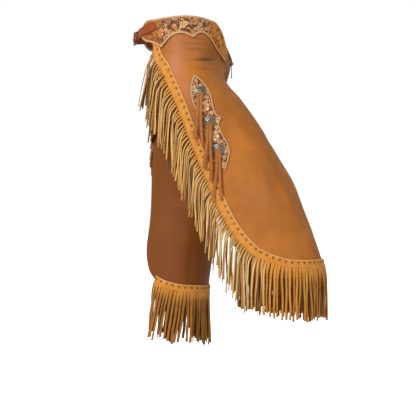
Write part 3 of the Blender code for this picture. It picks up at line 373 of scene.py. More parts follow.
def curve_through(rows, t):
    """A smooth curve through rows of (t, value, ...), as a list of the values at t."""
    rows = [tuple(row) for row in rows]
    last = len(rows) - 1
    i = 0
    while i < last - 1 and t > rows[i + 1][0]:
        i += 1
    t0, t1 = rows[i][0], rows[i + 1][0]
    span = t1 - t0
    share = min(1.0, max(0.0, (t - t0) / span))

    def slope(j, column):
        if j == 0:
            return (rows[1][column] - rows[0][column]) / (rows[1][0] - rows[0][0])
        if j == last:
            return (rows[last][column] - rows[last - 1][column]) / (rows[last][0] - rows[last - 1][0])
        before = (rows[j][column] - rows[j - 1][column]) / (rows[j][0] - rows[j - 1][0])
        after = (rows[j + 1][column] - rows[j][column]) / (rows[j + 1][0] - rows[j][0])
        near, far = rows[j][0] - rows[j - 1][0], rows[j + 1][0] - rows[j][0]
        return (before * far + after * near) / (near + far)

    values = []
    for column in range(1, len(rows[0])):
        start, end = rows[i][column], rows[i + 1][column]
        leave, arrive = slope(i, column) * span, slope(i + 1, column) * span
        s2, s3 = share * share, share**3
        values.append(
            start * (2 * s3 - 3 * s2 + 1)
            + leave * (s3 - 2 * s2 + share)
            + end * (3 * s2 - 2 * s3)
            + arrive * (s3 - s2)
        )
    return values


def along_points(points):
    """The points with their running length in front, so that curve_through can follow them."""
    total, rows = 0.0, []
    for k, point in enumerate(points):
        if k:
            total += math.dist(point, points[k - 1])
        rows.append((total, *point))
    return rows


def edge_rows(places):
    """An edge's points, given by angle and height, as rows of length, scaled angle and height."""
    return along_points([(angle / DEGREES_PER_METRE, z) for angle, z in places])


def smoothstep(low, high, value):
    share = min(1.0, max(0.0, (value - low) / (high - low)))
    return share * share * (3 - 2 * share)


class Leg:
    """The leather of one leg as a surface: an angle round it, a height z, and a distance out."""

    ANGLE_STEP = 0.3
    HEIGHT_STEP = 0.0006
    TANGENT_REACH = 0.004
    PATH_STEPS = 60

    def __init__(self, name, side, sections, folds, outer_edge, hem, inner_edge):
        self.name = name
        self.side = side
        self.known = {}
        self.sections = sorted(sections)
        self.folds = folds
        outer = [(self.angle_seen(x, z), z) for x, z in outer_edge]
        self.outer_rows = edge_rows(outer)
        self.hem_rows = edge_rows([outer[-1], *hem])
        self.inner_rows = edge_rows(inner_edge)
        self.top_rows = edge_rows([outer[0], *TOP_EDGE])

    def section(self, z):
        return curve_through(self.sections, z)

    def angle_seen(self, x, z):
        """The angle on the outside of the leg of a point at x and z as seen from the side."""
        middle, _, front, back_out, _, _, _ = self.section(z)
        reach = front if x > middle else back_out
        return -math.degrees(math.acos(max(-1.0, min(1.0, (x - middle) / reach))))

    def fold(self, angle, z):
        depth = 0.0
        for at, height, half_angle, half_height, deep, slope in self.folds:
            across = (angle - at) / half_angle
            down = (z - height - slope * (angle - at)) / half_height
            depth += deep * math.exp(-across * across - down * down)
        return depth

    def base(self, angle, z, folded=False):
        """A point of the leather's surface; what is sewn on bridges the folds."""
        x, y, front, back_out, back_in, outer, inner = self.section(z)
        turn = math.radians(angle)
        ahead, aside = math.cos(turn), math.sin(turn)
        reach = front if ahead > 0 else (back_in if aside > 0 else back_out)
        spread = inner if aside > 0 else outer
        sunk = 1.0 - self.fold(angle, z) / MEAN_RADIUS if folded else 1.0
        return Vector((x + reach * ahead * sunk, y - self.side * spread * aside * sunk, z))

    def frame(self, angle, z):
        """The point, how it moves for each degree and each metre of height, and the outward normal."""
        point = self.base(angle, z)
        step_round = self.base(angle + self.ANGLE_STEP, z) - self.base(angle - self.ANGLE_STEP, z)
        step_up = self.base(angle, z + self.HEIGHT_STEP) - self.base(angle, z - self.HEIGHT_STEP)
        step_round /= 2 * self.ANGLE_STEP
        step_up /= 2 * self.HEIGHT_STEP
        normal = step_round.cross(step_up).normalized() * -self.side
        return point, step_round, step_up, normal

    def centre(self, z):
        """The middle of the leg's section at a height."""
        return self.section(z)[:2]

    def at(self, angle, z, out=0.0):
        if not out:
            return self.base(angle, z)
        point, _, _, normal = self.frame(angle, z)
        return point + normal * out

    def seen(self, x, z, out=0.0):
        return self.at(self.angle_seen(x, z), z, out)

    def shifted(self, angle, z, move):
        """The angle and height reached from here by a small move in space along the surface."""
        _, per_degree, per_metre, _ = self.frame(angle, z)
        a, b, c = per_degree.dot(per_degree), per_degree.dot(per_metre), per_metre.dot(per_metre)
        p, q = per_degree.dot(move), per_metre.dot(move)
        det = a * c - b * b
        return angle + (p * c - q * b) / det, z + (q * a - p * b) / det

    def boundary(self, rows, share):
        key = (id(rows), round(share, 6))
        if key not in self.known:
            scaled, z = curve_through(rows, share * rows[-1][0])
            self.known[key] = (scaled * DEGREES_PER_METRE, z)
        return self.known[key]

    def edge_angle(self, rows, z):
        """The angle at which an edge passes a height."""
        places = [self.boundary(rows, k / 80) for k in range(81)]
        return min(places, key=lambda place: abs(place[1] - z))[0]

    def panel_place(self, u, v):
        """Angle and height inside the cut outline, u from the outer edge inward and v from top to hem."""
        top, hem = self.boundary(self.top_rows, u), self.boundary(self.hem_rows, u)
        outer, inner = self.boundary(self.outer_rows, v), self.boundary(self.inner_rows, v)
        corners = (
            self.boundary(self.top_rows, 0.0),
            self.boundary(self.top_rows, 1.0),
            self.boundary(self.hem_rows, 0.0),
            self.boundary(self.hem_rows, 1.0),
        )
        place = []
        for k in (0, 1):
            sides = (1 - v) * top[k] + v * hem[k] + (1 - u) * outer[k] + u * inner[k]
            cornered = (1 - v) * ((1 - u) * corners[0][k] + u * corners[1][k])
            cornered += v * ((1 - u) * corners[2][k] + u * corners[3][k])
            place.append(sides - cornered)
        return place

    def fringe_path(self):
        """Points down the outer edge and round the hem: length so far, scaled angle, z."""
        steps = self.PATH_STEPS
        places = [self.boundary(self.outer_rows, k / steps) for k in range(steps + 1)]
        places += [self.boundary(self.hem_rows, k / steps) for k in range(1, steps + 1)]
        rows, total = [], 0.0
        for k, (angle, z) in enumerate(places):
            if k:
                total += (self.base(angle, z) - self.base(*places[k - 1])).length
            rows.append((total, angle / DEGREES_PER_METRE, z))
        return rows

    def on_path(self, rows, length):
        """Place, tangent along the edge and direction off the leather at a length down the edge."""
        length = min(rows[-1][0], max(0.0, length))
        scaled, z = curve_through(rows, length)
        before = curve_through(rows, max(0.0, length - self.TANGENT_REACH))
        after = curve_through(rows, min(rows[-1][0], length + self.TANGENT_REACH))
        start = self.base(before[0] * DEGREES_PER_METRE, before[1])
        end = self.base(after[0] * DEGREES_PER_METRE, after[1])
        tangent = (end - start).normalized()
        normal = self.frame(scaled * DEGREES_PER_METRE, z)[3]
        away = tangent.cross(normal).normalized() * -self.side
        return scaled * DEGREES_PER_METRE, z, tangent, away, normal

    def inside_path(self, rows, length, inset, out):
        """A point on the leather at a distance in from the cut edge."""
        angle, z, _, away, _ = self.on_path(rows, length)
        return self.at(*self.shifted(angle, z, away * -inset), out)

    def past_path(self, rows, length):
        """A point on the strip's free side: straight on past the cut edge, but close in under the yoke."""
        angle, z, tangent, away, normal = self.on_path(rows, length)
        covered = self.at(*self.shifted(angle, z, away * STRIP_UNDER_YOKE), STRIP_MID)
        free = self.base(angle, z) + away * strip_reach(tangent) + normal * (STRIP_MID + STRIP_LIFT)
        return covered.lerp(free, smoothstep(*STRIP_FREED, -z))


def strand_direction(tangent, sweep):
    """How a strand hangs: down, and swept back where the edge is steep."""
    steep = abs(tangent.z) ** 1.5
    lean = math.radians(sweep) * steep
    return Vector((-math.sin(lean), 0.0, -math.cos(lean)))


def strip_reach(tangent):
    """How far the uncut strip reaches past the edge: more on the side than on the hem."""
    steep = smoothstep(0.15, 0.8, abs(tangent.z))
    return STRIP_PAST_HEM + (STRIP_PAST_SIDE - STRIP_PAST_HEM) * steep


def whole_share(length):
    """Share of the strip past the edge that is left whole; the slits end unevenly."""
    return STRIP_WHOLE + SLIT_UNEVEN * noise.noise(Vector((length * 70.0, 2.0, 5.0)))


def strip_end(leg, rows, length):
    """The strip's points over the panel's cut edge and where its slits begin."""
    angle, z = leg.on_path(rows, length)[:2]
    middle = leg.at(angle, z, STRIP_OUT)
    return middle, middle.lerp(leg.past_path(rows, length), whole_share(length))


def yoke_edges(share):
    """Angle and height of the yoke's upper and lower edge at a share of its length from the back."""
    upper = curve_through(YOKE_UPPER, share)
    for scallop in YOKE_SCALLOPS:
        if share <= scallop[-1][0] + 1e-9:
            return upper, curve_through(scallop, share)
    return upper, list(YOKE_SCALLOPS[-1][-1][1:])


def yoke_place(share, down):
    """Angle and height of a point of the yoke, down from its upper edge."""
    upper, lower = yoke_edges(share)
    return [high + (low - high) * down for high, low in zip(upper, lower)]


def yoke_out(angle):
    climb = smoothstep(-YOKE_RISE[0], -YOKE_RISE[1], -angle)
    return YOKE_MID + (YOKE_MID_ON_STRIP - YOKE_MID) * climb


class Patch:
    """The tooled patch on the outside of the thigh, in its own lengths along and across."""

    def __init__(self, leg, top_x, top_z, lean_deg):
        self.leg = leg
        self.top_x = top_x
        self.top_z = top_z
        self.lean = math.radians(lean_deg)

    def seen_place(self, along, across):
        x = self.top_x + along * math.sin(self.lean) + across * math.cos(self.lean)
        z = self.top_z - along * math.cos(self.lean) + across * math.sin(self.lean)
        return x, z

    def at(self, along, across, out):
        return self.leg.seen(*self.seen_place(along, across), out)


def facing(patch, along):
    """Place on the patch's face, its outward normal, and the rotation that turns +Z to that normal."""
    face = patch.at(along, 0.0, PATCH_FACE)
    step = CONCHO_RADIUS / 3
    ahead = patch.at(along, step, PATCH_FACE) - patch.at(along, -step, PATCH_FACE)
    down = patch.at(along + step, 0.0, PATCH_FACE) - patch.at(along - step, 0.0, PATCH_FACE)
    normal = ahead.cross(down).normalized()
    if normal.y * patch.leg.side < 0:
        normal = -normal
    return face, normal, normal.to_track_quat("Z", "Y")


def back_point(degrees, across, out, legs):
    """A point on the back closure: degrees from the middle of the back, positive to the right."""
    leg = legs["right"] if degrees >= 0 else legs["left"]
    z = curve_through(BACK_STRAP_DROP, degrees)[0]
    return leg.at(-(180.0 - abs(degrees)), z + across, out)


def degrees_at_y(y, legs):
    """Degrees from the middle of the back at a given y on the strap's line."""
    low, high = (0.0, 60.0) if y < 0 else (-60.0, 0.0)
    for _ in range(40):
        middle = (low + high) / 2
        if back_point(middle, 0.0, BUCKLE_STRAP_MID, legs).y > y:
            low = middle
        else:
            high = middle
    return (low + high) / 2


def back_local(y, across, out, legs):
    """A point of the buckle: y across the back, height from the strap's line, distance out."""
    degrees = degrees_at_y(y, legs)
    level = back_point(degrees, 0.0, 0.0, legs)
    return Vector((level.x - out, y, curve_through(BACK_STRAP_DROP, 0.0)[0] + across))


RIGHT_LEG = Leg("right", -1, RIGHT_SECTIONS, RIGHT_FOLDS, RIGHT_OUTER_EDGE, RIGHT_HEM, RIGHT_INNER_EDGE)
LEFT_LEG = Leg("left", 1, LEFT_SECTIONS, LEFT_FOLDS, LEFT_OUTER_EDGE, LEFT_HEM, LEFT_INNER_EDGE)
LEGS = {"right": RIGHT_LEG, "left": LEFT_LEG}
PATCHES = {"right": Patch(RIGHT_LEG, *RIGHT_PATCH), "left": Patch(LEFT_LEG, *LEFT_PATCH)}

# Smaller creases in the panels, pressed inward
RIGHT_CREASES = (  # angle, z, half_angle, half_height, depth, slope
    (-57.0, -0.0985, 16.0, 0.0034, 0.0042, 0.00018), (-62.0, -0.109, 13.0, 0.0042, -0.0018, 0.0001),
    (-64.0, -0.089, 13.0, 0.0042, -0.0013, 0.0001), (-74.0, -0.056, 12.0, 0.0046, 0.001, 0.0001),
    (-72.0, -0.043, 11.0, 0.0042, 0.0009, 0.00006), (-74.0, -0.072, 11.0, 0.0048, 0.001, -0.0001),
    (-60.0, -0.124, 12.0, 0.0046, 0.0008, -0.00006), (-30.0, -0.19, 26.0, 0.012, 0.002, 0.0006),
    (-74.0, -0.3, 9.0, 0.07, 0.0018, 0.0), (-20.0, -0.33, 30.0, 0.014, 0.0018, 0.0005),
    (-58.0, -0.445, 8.0, 0.08, 0.0022, 0.0), (10.0, -0.56, 9.0, 0.09, 0.003, 0.0),
    (-46.0, -0.58, 7.0, 0.06, 0.002, 0.0), (96.0, -0.42, 16.0, 0.1, 0.0035, 0.0),
)
LEFT_CREASES = (  # angle, z, half_angle, half_height, depth, slope
    (-58.0, -0.0985, 16.0, 0.004, 0.0024, -0.0001), (60.0, -0.3, 10.0, 0.11, 0.003, 0.0),
    (124.0, -0.42, 12.0, 0.13, 0.0035, 0.0), (20.0, -0.38, 26.0, 0.016, 0.0026, 0.0005),
    (80.0, -0.47, 30.0, 0.014, 0.0026, -0.0004), (70.0, -0.66, 9.0, 0.06, 0.003, 0.0),
    (118.0, -0.64, 8.0, 0.07, 0.003, 0.0),
)
CREASES = {"right": RIGHT_CREASES, "left": LEFT_CREASES}

# Tooling on the yoke, in metres: place along and share down, size, turn in degrees
YOKE_FLOWERS = (
    (0.084, 0.5, 0.015, 10.0), (0.152, 0.5, 0.013, 40.0), (0.285, 0.5, 0.015, 0.0),
)
YOKE_LEAVES = (
    (0.018, 0.42, 0.028, 200.0), (0.04, 0.3, 0.03, 160.0), (0.044, 0.74, 0.03, 205.0),
    (0.056, 0.5, 0.024, 180.0), (0.112, 0.26, 0.028, 20.0), (0.113, 0.7, 0.028, -28.0), (0.128, 0.5, 0.02, 0.0),
    (0.176, 0.28, 0.024, 24.0), (0.178, 0.72, 0.024, -20.0), (0.194, 0.6, 0.02, 190.0),
    (0.236, 0.34, 0.026, 20.0), (0.238, 0.74, 0.026, -24.0), (0.254, 0.5, 0.022, 180.0),
    (0.262, 0.82, 0.02, 210.0), (0.313, 0.3, 0.03, 12.0), (0.316, 0.72, 0.03, -14.0), (0.34, 0.5, 0.03, 0.0),
    (0.362, 0.5, 0.022, 0.0),
)
YOKE_SCROLLS = (
    (0.027, 0.66, 0.008, 30.0), (0.064, 0.84, 0.0075, 200.0), (0.1, 0.86, 0.007, 300.0),
    (0.066, 0.15, 0.007, 140.0), (0.104, 0.12, 0.0065, 20.0), (0.132, 0.14, 0.006, 200.0),
    (0.134, 0.84, 0.006, 80.0), (0.198, 0.16, 0.006, 180.0), (0.226, 0.14, 0.0055, 20.0),
    (0.258, 0.18, 0.008, 120.0), (0.31, 0.1, 0.006, 20.0), (0.302, 0.88, 0.007, 300.0),
    (0.338, 0.2, 0.007, 60.0), (0.336, 0.84, 0.007, 250.0), (0.006, 0.2, 0.005, 100.0),
)

# Tooling on the side patch, in metres: place across and place along, size, turn in degrees
PATCH_FLOWERS = (
    (0.0, 0.093, 0.015, 90.0), (0.0, 0.177, 0.015, 60.0),
)
PATCH_LEAVES = (
    (0.0, 0.016, 0.02, 270.0), (-0.008, 0.033, 0.018, 240.0), (0.008, 0.033, 0.018, 300.0),
    (-0.015, 0.072, 0.02, 100.0), (0.015, 0.072, 0.02, 80.0), (-0.014, 0.113, 0.018, 250.0),
    (0.014, 0.113, 0.018, 290.0), (-0.014, 0.158, 0.018, 95.0), (0.014, 0.158, 0.018, 85.0),
    (-0.014, 0.196, 0.018, 255.0), (0.014, 0.196, 0.018, 285.0), (-0.006, 0.243, 0.02, 80.0),
    (0.007, 0.243, 0.02, 100.0), (0.0, 0.259, 0.016, 90.0),
)
PATCH_SCROLLS = (
    (-0.019, 0.052, 0.005, 30.0), (0.019, 0.052, 0.005, 150.0), (-0.017, 0.092, 0.0045, 200.0),
    (0.017, 0.092, 0.0045, 300.0), (-0.022, 0.136, 0.006, 30.0), (0.022, 0.136, 0.006, 150.0),
    (-0.02, 0.217, 0.0055, 30.0), (0.02, 0.217, 0.0055, 150.0),
)


def flower_height(x, y, flower):
    """Five domed petals round a beaded middle, or nothing outside them."""
    centre_x, centre_y, radius, turn, _ = flower
    dx, dy = x - centre_x, y - centre_y
    reach = math.hypot(dx, dy) / radius
    if reach > 1.0:
        return None
    petal = ((math.degrees(math.atan2(dy, dx)) - turn) / 72.0) % 1.0 - 0.5
    edge = 0.74 + 0.26 * math.cos(math.pi * petal)
    if reach > edge:
        return None
    rim = smoothstep(0.0, 0.10, edge - reach)
    if reach < 0.30:
        return rim * (0.95 if 0.10 < reach < 0.24 else 0.35)
    groove = smoothstep(0.02, 0.10, 0.5 - abs(petal))
    vein = 1.0 - 0.45 * (1.0 - smoothstep(0.01, 0.05, abs(petal))) * smoothstep(0.95, 0.5, reach)
    return rim * (0.15 + 0.85 * groove) * vein * (0.60 + 0.40 * smoothstep(0.3, 0.8, reach))


def leaf_height(x, y, leaf):
    """A curled leaf with a middle vein and side veins, or nothing outside it."""
    centre_x, centre_y, length, turn, _ = leaf
    dx, dy = x - centre_x, y - centre_y
    if abs(dx) > length * 0.56 or abs(dy) > length * 0.56:
        return None
    angle = math.radians(turn)
    along = (dx * math.cos(angle) + dy * math.sin(angle)) / length + 0.5
    if not 0.0 < along < 1.0:
        return None
    across = (-dx * math.sin(angle) + dy * math.cos(angle)) / length - 0.30 * ((along - 0.5) ** 2 - 0.08)
    half = 0.25 * math.sin(math.pi * along**0.75) * (1.0 + 0.18 * math.sin(along * 21.0))
    if abs(across) > half:
        return None
    rim = smoothstep(0.015, 0.085, half - abs(across))
    vein = smoothstep(0.014, 0.055, abs(across))
    side = 0.5 + 0.5 * math.sin((along + abs(across) * 1.2) * 42.0)
    return rim * (0.25 + 0.75 * vein) * (0.70 + 0.30 * side)


def scroll_height(x, y, scroll):
    """A stem that curls into a spiral, with its stamped eye, or nothing outside it."""
    centre_x, centre_y, radius, turn, _ = scroll
    dx, dy = x - centre_x, y - centre_y
    reach = math.hypot(dx, dy) / radius
    if reach > 1.08:
        return None
    if reach < 0.22:
        return 1.0 - smoothstep(0.14, 0.22, reach)
    spin = ((math.degrees(math.atan2(dy, dx)) - turn) / 360.0) % 1.0
    nearest = min(abs(reach - wrap) for wrap in (0.32 + 0.34 * spin, 0.66 + 0.34 * spin))
    return 1.0 - smoothstep(0.07, 0.15, nearest)


MOTIF_SHAPES = {"flower": flower_height, "scroll": scroll_height, "leaf": leaf_height}


def tooled_height(x, y, motifs):
    """Height of the tooling, from 0 in the stamped ground to 1 on top, and how brightly it is rubbed there."""
    for kind, motif in motifs:
        height = MOTIF_SHAPES[kind](x, y, motif)
        if height is not None:
            return height, motif[-1]
    return 0.0, 0.5


def foliage(length, edges_at, pitch, size, seed):
    """Leaves and curls packed over the whole ground; edges_at(along) gives where the ground starts and ends."""
    draw = random.Random(seed)
    leaves = []
    along = pitch / 2
    while along < length:
        low, high = edges_at(along)
        count = max(1, round((high - low) / pitch))
        for k in range(count):
            y = low + (k + 0.5 + draw.uniform(-0.25, 0.25)) * (high - low) / count
            x = along + draw.uniform(-0.25, 0.25) * pitch
            flow = 200.0 * noise.noise(Vector((x * 26.0, y * 26.0, seed)))
            turn = flow + (180.0 if draw.random() < 0.5 else 0.0) + draw.uniform(-25.0, 25.0)
            tone = draw.choice((0.50, 0.70, 0.90, 1.0, 1.0))
            if draw.random() < CURL_SHARE:
                leaves.append(("scroll", (x, y, size * 0.36, turn, tone)))
            else:
                leaves.append(("leaf", (x, y, size * draw.uniform(0.85, 1.2), turn, tone)))
        along += pitch * 0.9
    draw.shuffle(leaves)
    return leaves


# Node trees


class Shading:
    """A node tree to which nodes are added together with their inputs."""

    def __init__(self, tree):
        self.tree = tree
        self.count = 0

    def fill(self, node, inputs):
        """Links or sets inputs of a node, each by its name or number."""
        for name, value in inputs.items():
            if isinstance(value, bpy.types.NodeSocket):
                self.tree.links.new(value, node.inputs[name])
            else:
                node.inputs[name].default_value = value
        return node

    def add(self, kind, inputs=None, **settings):
        node = self.tree.nodes.new(kind)
        node.location = (220.0 * (self.count % 8), -260.0 * (self.count // 8))
        self.count += 1
        for name, value in settings.items():
            setattr(node, name, value)
        return self.fill(node, inputs or {})

    def plus(self, first, second):
        return self.add("ShaderNodeMath", {0: first, 1: second}, operation="ADD").outputs[0]

    def times(self, first, second):
        return self.add("ShaderNodeMath", {0: first, 1: second}, operation="MULTIPLY").outputs[0]

    def noise(self, scale, detail=3.0, roughness=0.5):
        place = self.add("ShaderNodeTexCoord").outputs["Object"]
        inputs = {"Vector": place, "Scale": scale, "Detail": detail, "Roughness": roughness}
        return self.add("ShaderNodeTexNoise", inputs).outputs["Fac"]

    def spread(self, value, low, high, to_low=0.0, to_high=1.0):
        inputs = {"Value": value, "From Min": low, "From Max": high, "To Min": to_low, "To Max": to_high}
        return self.add("ShaderNodeMapRange", inputs).outputs["Result"]

    def mark(self, name):
        """A value painted on the piece's points."""
        return self.add("ShaderNodeAttribute", attribute_name=name).outputs["Fac"]

    def mix(self, share, first, second):
        return self.add("ShaderNodeMix", {0: share, 6: first, 7: second}, data_type="RGBA").outputs[2]

    def ramp(self, value, stops):
        node = self.add("ShaderNodeValToRGB", {"Fac": value})
        elements = node.color_ramp.elements
        while len(elements) < len(stops):
            elements.new(0.5)
        for element, (position, colour) in zip(elements, stops):
            element.position = position
            element.color = colour
        return node.outputs["Color"]


def new_group(name, inputs, outputs):
    """A shader node group of numbers, with what goes in and the node that holds what comes out."""
    tree = bpy.data.node_groups.new(name, "ShaderNodeTree")
    for socket_name, default in inputs.items():
        socket = tree.interface.new_socket(socket_name, in_out="INPUT", socket_type="NodeSocketFloat")
        socket.default_value = default
    for socket_name in outputs:
        tree.interface.new_socket(socket_name, in_out="OUTPUT", socket_type="NodeSocketFloat")
    shading = Shading(tree)
    return shading, shading.add("NodeGroupInput").outputs, shading.add("NodeGroupOutput")


def make_grain_group():
    """Pores and wrinkles of smooth leather, as a height in metres."""
    shading, given, leaving = new_group("leather grain", {"Pore Scale": 700.0, "Depth": 0.0002}, ("Height",))
    place = shading.add("ShaderNodeTexCoord").outputs["Object"]
    cells = shading.add("ShaderNodeTexVoronoi", {"Vector": place, "Scale": given["Pore Scale"]})
    pores = shading.times(shading.spread(cells.outputs["Distance"], 0.05, 0.55), 0.45)
    wrinkles = shading.times(shading.noise(120.0, 5.0, 0.6), 1.2)
    shading.fill(leaving, {"Height": shading.times(shading.plus(pores, wrinkles), given["Depth"])})


def make_mottle_group():
    """Soft blotches of oil and wear, from 0 to 1, and fine streaks."""
    scales = {"Blotch Scale": 9.0, "Streak Scale": 70.0}
    shading, given, leaving = new_group("oiled mottle", scales, ("Blotches", "Streaks"))
    blotches = shading.spread(shading.noise(given["Blotch Scale"], 4.0, 0.62), 0.32, 0.68)
    streaks = shading.spread(shading.noise(given["Streak Scale"], 5.0, 0.7), 0.30, 0.72)
    shading.fill(leaving, {"Blotches": blotches, "Streaks": streaks})


def make_nap_group():
    """The nap of suede: a fine height, and lighter and darker brushed patches."""
    shading, given, leaving = new_group("suede nap", {"Fibre Scale": 1100.0, "Depth": 0.0003}, ("Height", "Brushed"))
    fibres = shading.times(shading.noise(given["Fibre Scale"], 2.0, 0.7), given["Depth"])
    brushed = shading.spread(shading.noise(45.0, 4.0, 0.6), 0.32, 0.68)
    shading.fill(leaving, {"Height": fibres, "Brushed": brushed})


def new_material(name, *group_names):
    """The nodes of a new material, its shader, and what each group that it uses gives."""
    material = bpy.data.materials.new(name)
    material.use_nodes = True
    shading = Shading(material.node_tree)
    groups = [shading.add("ShaderNodeGroup", node_tree=bpy.data.node_groups[group]) for group in group_names]
    return shading, material.node_tree.nodes["Principled BSDF"], *(group.outputs for group in groups)


def finish_shader(shading, shader, inputs, height, distance=1.0, strength=1.0):
    """Sets the shader's inputs, and lets the height stand out from the surface."""
    bump = shading.add("ShaderNodeBump", {"Height": height, "Distance": distance, "Strength": strength})
    shading.fill(shader, {**inputs, "Normal": bump.outputs["Normal"]})


def rgba(colour, gains=(1.0, 1.0, 1.0)):
    """The colour with alpha, brightened by one gain or by one for each of red, green and blue."""
    gains = gains if isinstance(gains, tuple) else (gains,) * 3
    return (*(part * gain for part, gain in zip(colour, gains)), 1.0)


def make_smooth_leather(name, colour, dark_gain, light_gain, rough=(0.42, 0.58)):
    """Oiled full-grain leather: mottled and burnished along its cut edges, with painted shade in its creases and on
    marked places, and painted highlights on others.
    """
    shading, shader, grain, mottle = new_material(name, "leather grain", "oiled mottle")
    mean = rgba(colour, 0.5 * (dark_gain + light_gain))
    tone = shading.mix(mottle["Blotches"], rgba(colour, dark_gain), rgba(colour, light_gain))
    tone = shading.mix(shading.times(mottle["Streaks"], 0.35), tone, mean)
    # painted highlight, then painted shade, then painted shade in the creases
    tone = shading.mix(shading.times(shading.mark("rubbed"), 0.8), tone, PAINTED_HIGHLIGHT_COLOUR)
    tone = shading.mix(shading.mark("soiled"), tone, rgba(colour, PAINTED_SHADE_GAINS))
    tone = shading.mix(shading.mark("crease"), tone, rgba(colour, 0.22))
    tone = shading.mix(shading.times(shading.mark("edge"), 0.6), tone, rgba(colour, dark_gain * 0.55))
    roughness = shading.spread(mottle["Streaks"], 0.0, 1.0, *rough)
    inputs = {"Base Color": tone, "Roughness": roughness, "Specular IOR Level": 0.26}
    finish_shader(shading, shader, inputs, grain["Height"])


def make_flesh_side(name, colour):
    """The rough inner side of leather."""
    shading, shader, nap = new_material(name, "suede nap")
    tone = shading.mix(nap["Brushed"], rgba(colour, 0.62), rgba(colour, 0.95))
    inputs = {"Base Color": tone, "Roughness": 0.92, "Specular IOR Level": 0.2}
    finish_shader(shading, shader, inputs, nap["Height"])


def make_suede(name, golden, pale):
    """Golden split suede, paler where the strands fray, with painted shade where strands lie behind others and along
    their sides.
    """
    shading, shader, nap = new_material(name, "suede nap")
    shade = shading.mark("shade")
    tone = shading.mix(shading.mark("pale"), rgba(golden), rgba(pale))
    tone = shading.mix(shading.spread(shade, 0.0, 1.0, 1.0, 0.0), tone, rgba(golden, STRAND_SHADE_GAINS))
    tone = shading.mix(shading.times(shading.times(nap["Brushed"], 0.30), shade), tone, rgba(pale, 1.05))
    tone = shading.mix(shading.spread(shading.mark("along"), 0.55, 1.0, 0.0, 0.18), tone, rgba(golden, 0.55))
    tone = shading.mix(shading.times(shading.times(shading.mark("edge"), 0.8), shade), tone, rgba(pale, 1.25))
    inputs = {"Base Color": tone, "Roughness": 0.88, "Specular IOR Level": 0.25}
    inputs.update({"Sheen Weight": 0.25, "Sheen Roughness": 0.5, "Sheen Tint": rgba(pale)})
    finish_shader(shading, shader, inputs, nap["Height"])


def make_tooled_leather(name, settings):
    """Tooled leather: antiqued dark in the stamped ground, burnished on top, with a natural border."""
    shading, shader, grain, mottle = new_material(name, "leather grain", "oiled mottle")
    relief, gold, rust = shading.mark("relief"), shading.mark("gold"), shading.mark("rust")
    middle, natural = settings.tooled_middle, settings.border_colour
    height = shading.plus(relief, shading.spread(shading.noise(420.0, 2.0), 0.3, 0.7, -0.10, 0.10))
    oiled = shading.spread(shading.noise(60.0, 2.0), 0.47, 0.60, 0.0, 0.75)
    light = shading.mix(oiled, rgba(settings.tooled_light), rgba(TOOLED_ORANGE))
    light = shading.mix(gold, light, rgba(settings.tooled_gold))
    light = shading.mix(rust, light, rgba(settings.tooled_rust))
    stops = ((0.10, rgba(settings.tooled_dark)), (0.34, rgba(middle, 0.40)), (0.66, rgba(middle)))
    dyed = shading.times(shading.plus(gold, rust), 0.50)
    tone = shading.mix(dyed, shading.ramp(height, stops), rgba(middle, 0.60))
    tone = shading.mix(shading.times(mottle["Streaks"], 0.22), tone, rgba(middle, 0.7))
    raised = shading.plus(height, shading.times(dyed, 0.36))
    tone = shading.mix(shading.spread(raised, 0.46, 0.78), tone, light)
    border = shading.mix(mottle["Streaks"], rgba(natural, 0.82), rgba(natural))
    tone = shading.mix(shading.mark("border"), tone, border)
    tone = shading.mix(shading.mark("edge"), tone, rgba(natural, 0.42))
    roughness = shading.spread(relief, 0.0, 1.0, 0.62, 0.36)
    inputs = {"Base Color": tone, "Roughness": roughness, "Specular IOR Level": 0.24}
    finish_shader(shading, shader, inputs, grain["Height"])


def make_silver(name, bright, tarnish):
    """Engraved silver, black in its cuts and scuffed on its high places."""
    shading, shader, mottle = new_material(name, "oiled mottle")
    polish = shading.times(shading.mark("relief"), shading.spread(mottle["Streaks"], 0.0, 1.0, 0.75, 1.0))
    tone = shading.mix(polish, rgba(tarnish), rgba(bright))
    inputs = {"Base Color": tone, "Roughness": shading.spread(polish, 0.0, 1.0, 0.55, 0.22), "Metallic": 1.0}
    finish_shader(shading, shader, inputs, shading.noise(900.0), distance=0.0001, strength=0.5)


def make_dark_metal(name, colour, roughness, metallic=1.0):
    """Browned metal, rubbed lighter in patches."""
    shading, shader, mottle = new_material(name, "oiled mottle")
    tone = shading.mix(mottle["Streaks"], rgba(colour, 0.6), rgba(colour, 1.5))
    rough = shading.spread(mottle["Streaks"], 0.0, 1.0, roughness, roughness + 0.2)
    inputs = {"Base Color": tone, "Roughness": rough, "Metallic": metallic}
    finish_shader(shading, shader, inputs, shading.noise(1200.0, 2.0), distance=0.00008, strength=0.5)


def make_thread(name, colour):
    """Waxed thread, darker in its twist."""
    shading, shader, nap = new_material(name, "suede nap")
    tone = shading.mix(nap["Brushed"], rgba(colour, 0.7), rgba(colour))
    finish_shader(shading, shader, {"Base Color": tone, "Roughness": 0.6}, nap["Height"], strength=0.5)


# Meshes


def shares(count):
    """Evenly spaced shares from 0 to 1, one more of them than the count of steps."""
    return [k / count for k in range(count + 1)]


def add_object(name, data):
    made = bpy.data.objects.new(name, data)
    bpy.context.scene.collection.objects.link(made)
    return made


def mesh_from(bm, name):
    mesh = bpy.data.meshes.new(name)
    bm.to_mesh(mesh)
    bm.free()
    return mesh


def marked_bmesh(*marks):
    """A new bmesh, and the layers of the values that are painted on its points."""
    bm = bmesh.new()
    return bm, [bm.verts.layers.float.new(mark) for mark in marks]


def paint(vert, layers, values):
    for layer, value in zip(layers, values):
        vert[layer] = value


def set_down(bm, verts, turn, place):
    """Turns new points about the origin and takes them to their place."""
    bmesh.ops.rotate(bm, verts=verts, cent=(0.0, 0.0, 0.0), matrix=turn)
    bmesh.ops.translate(bm, verts=verts, vec=place)


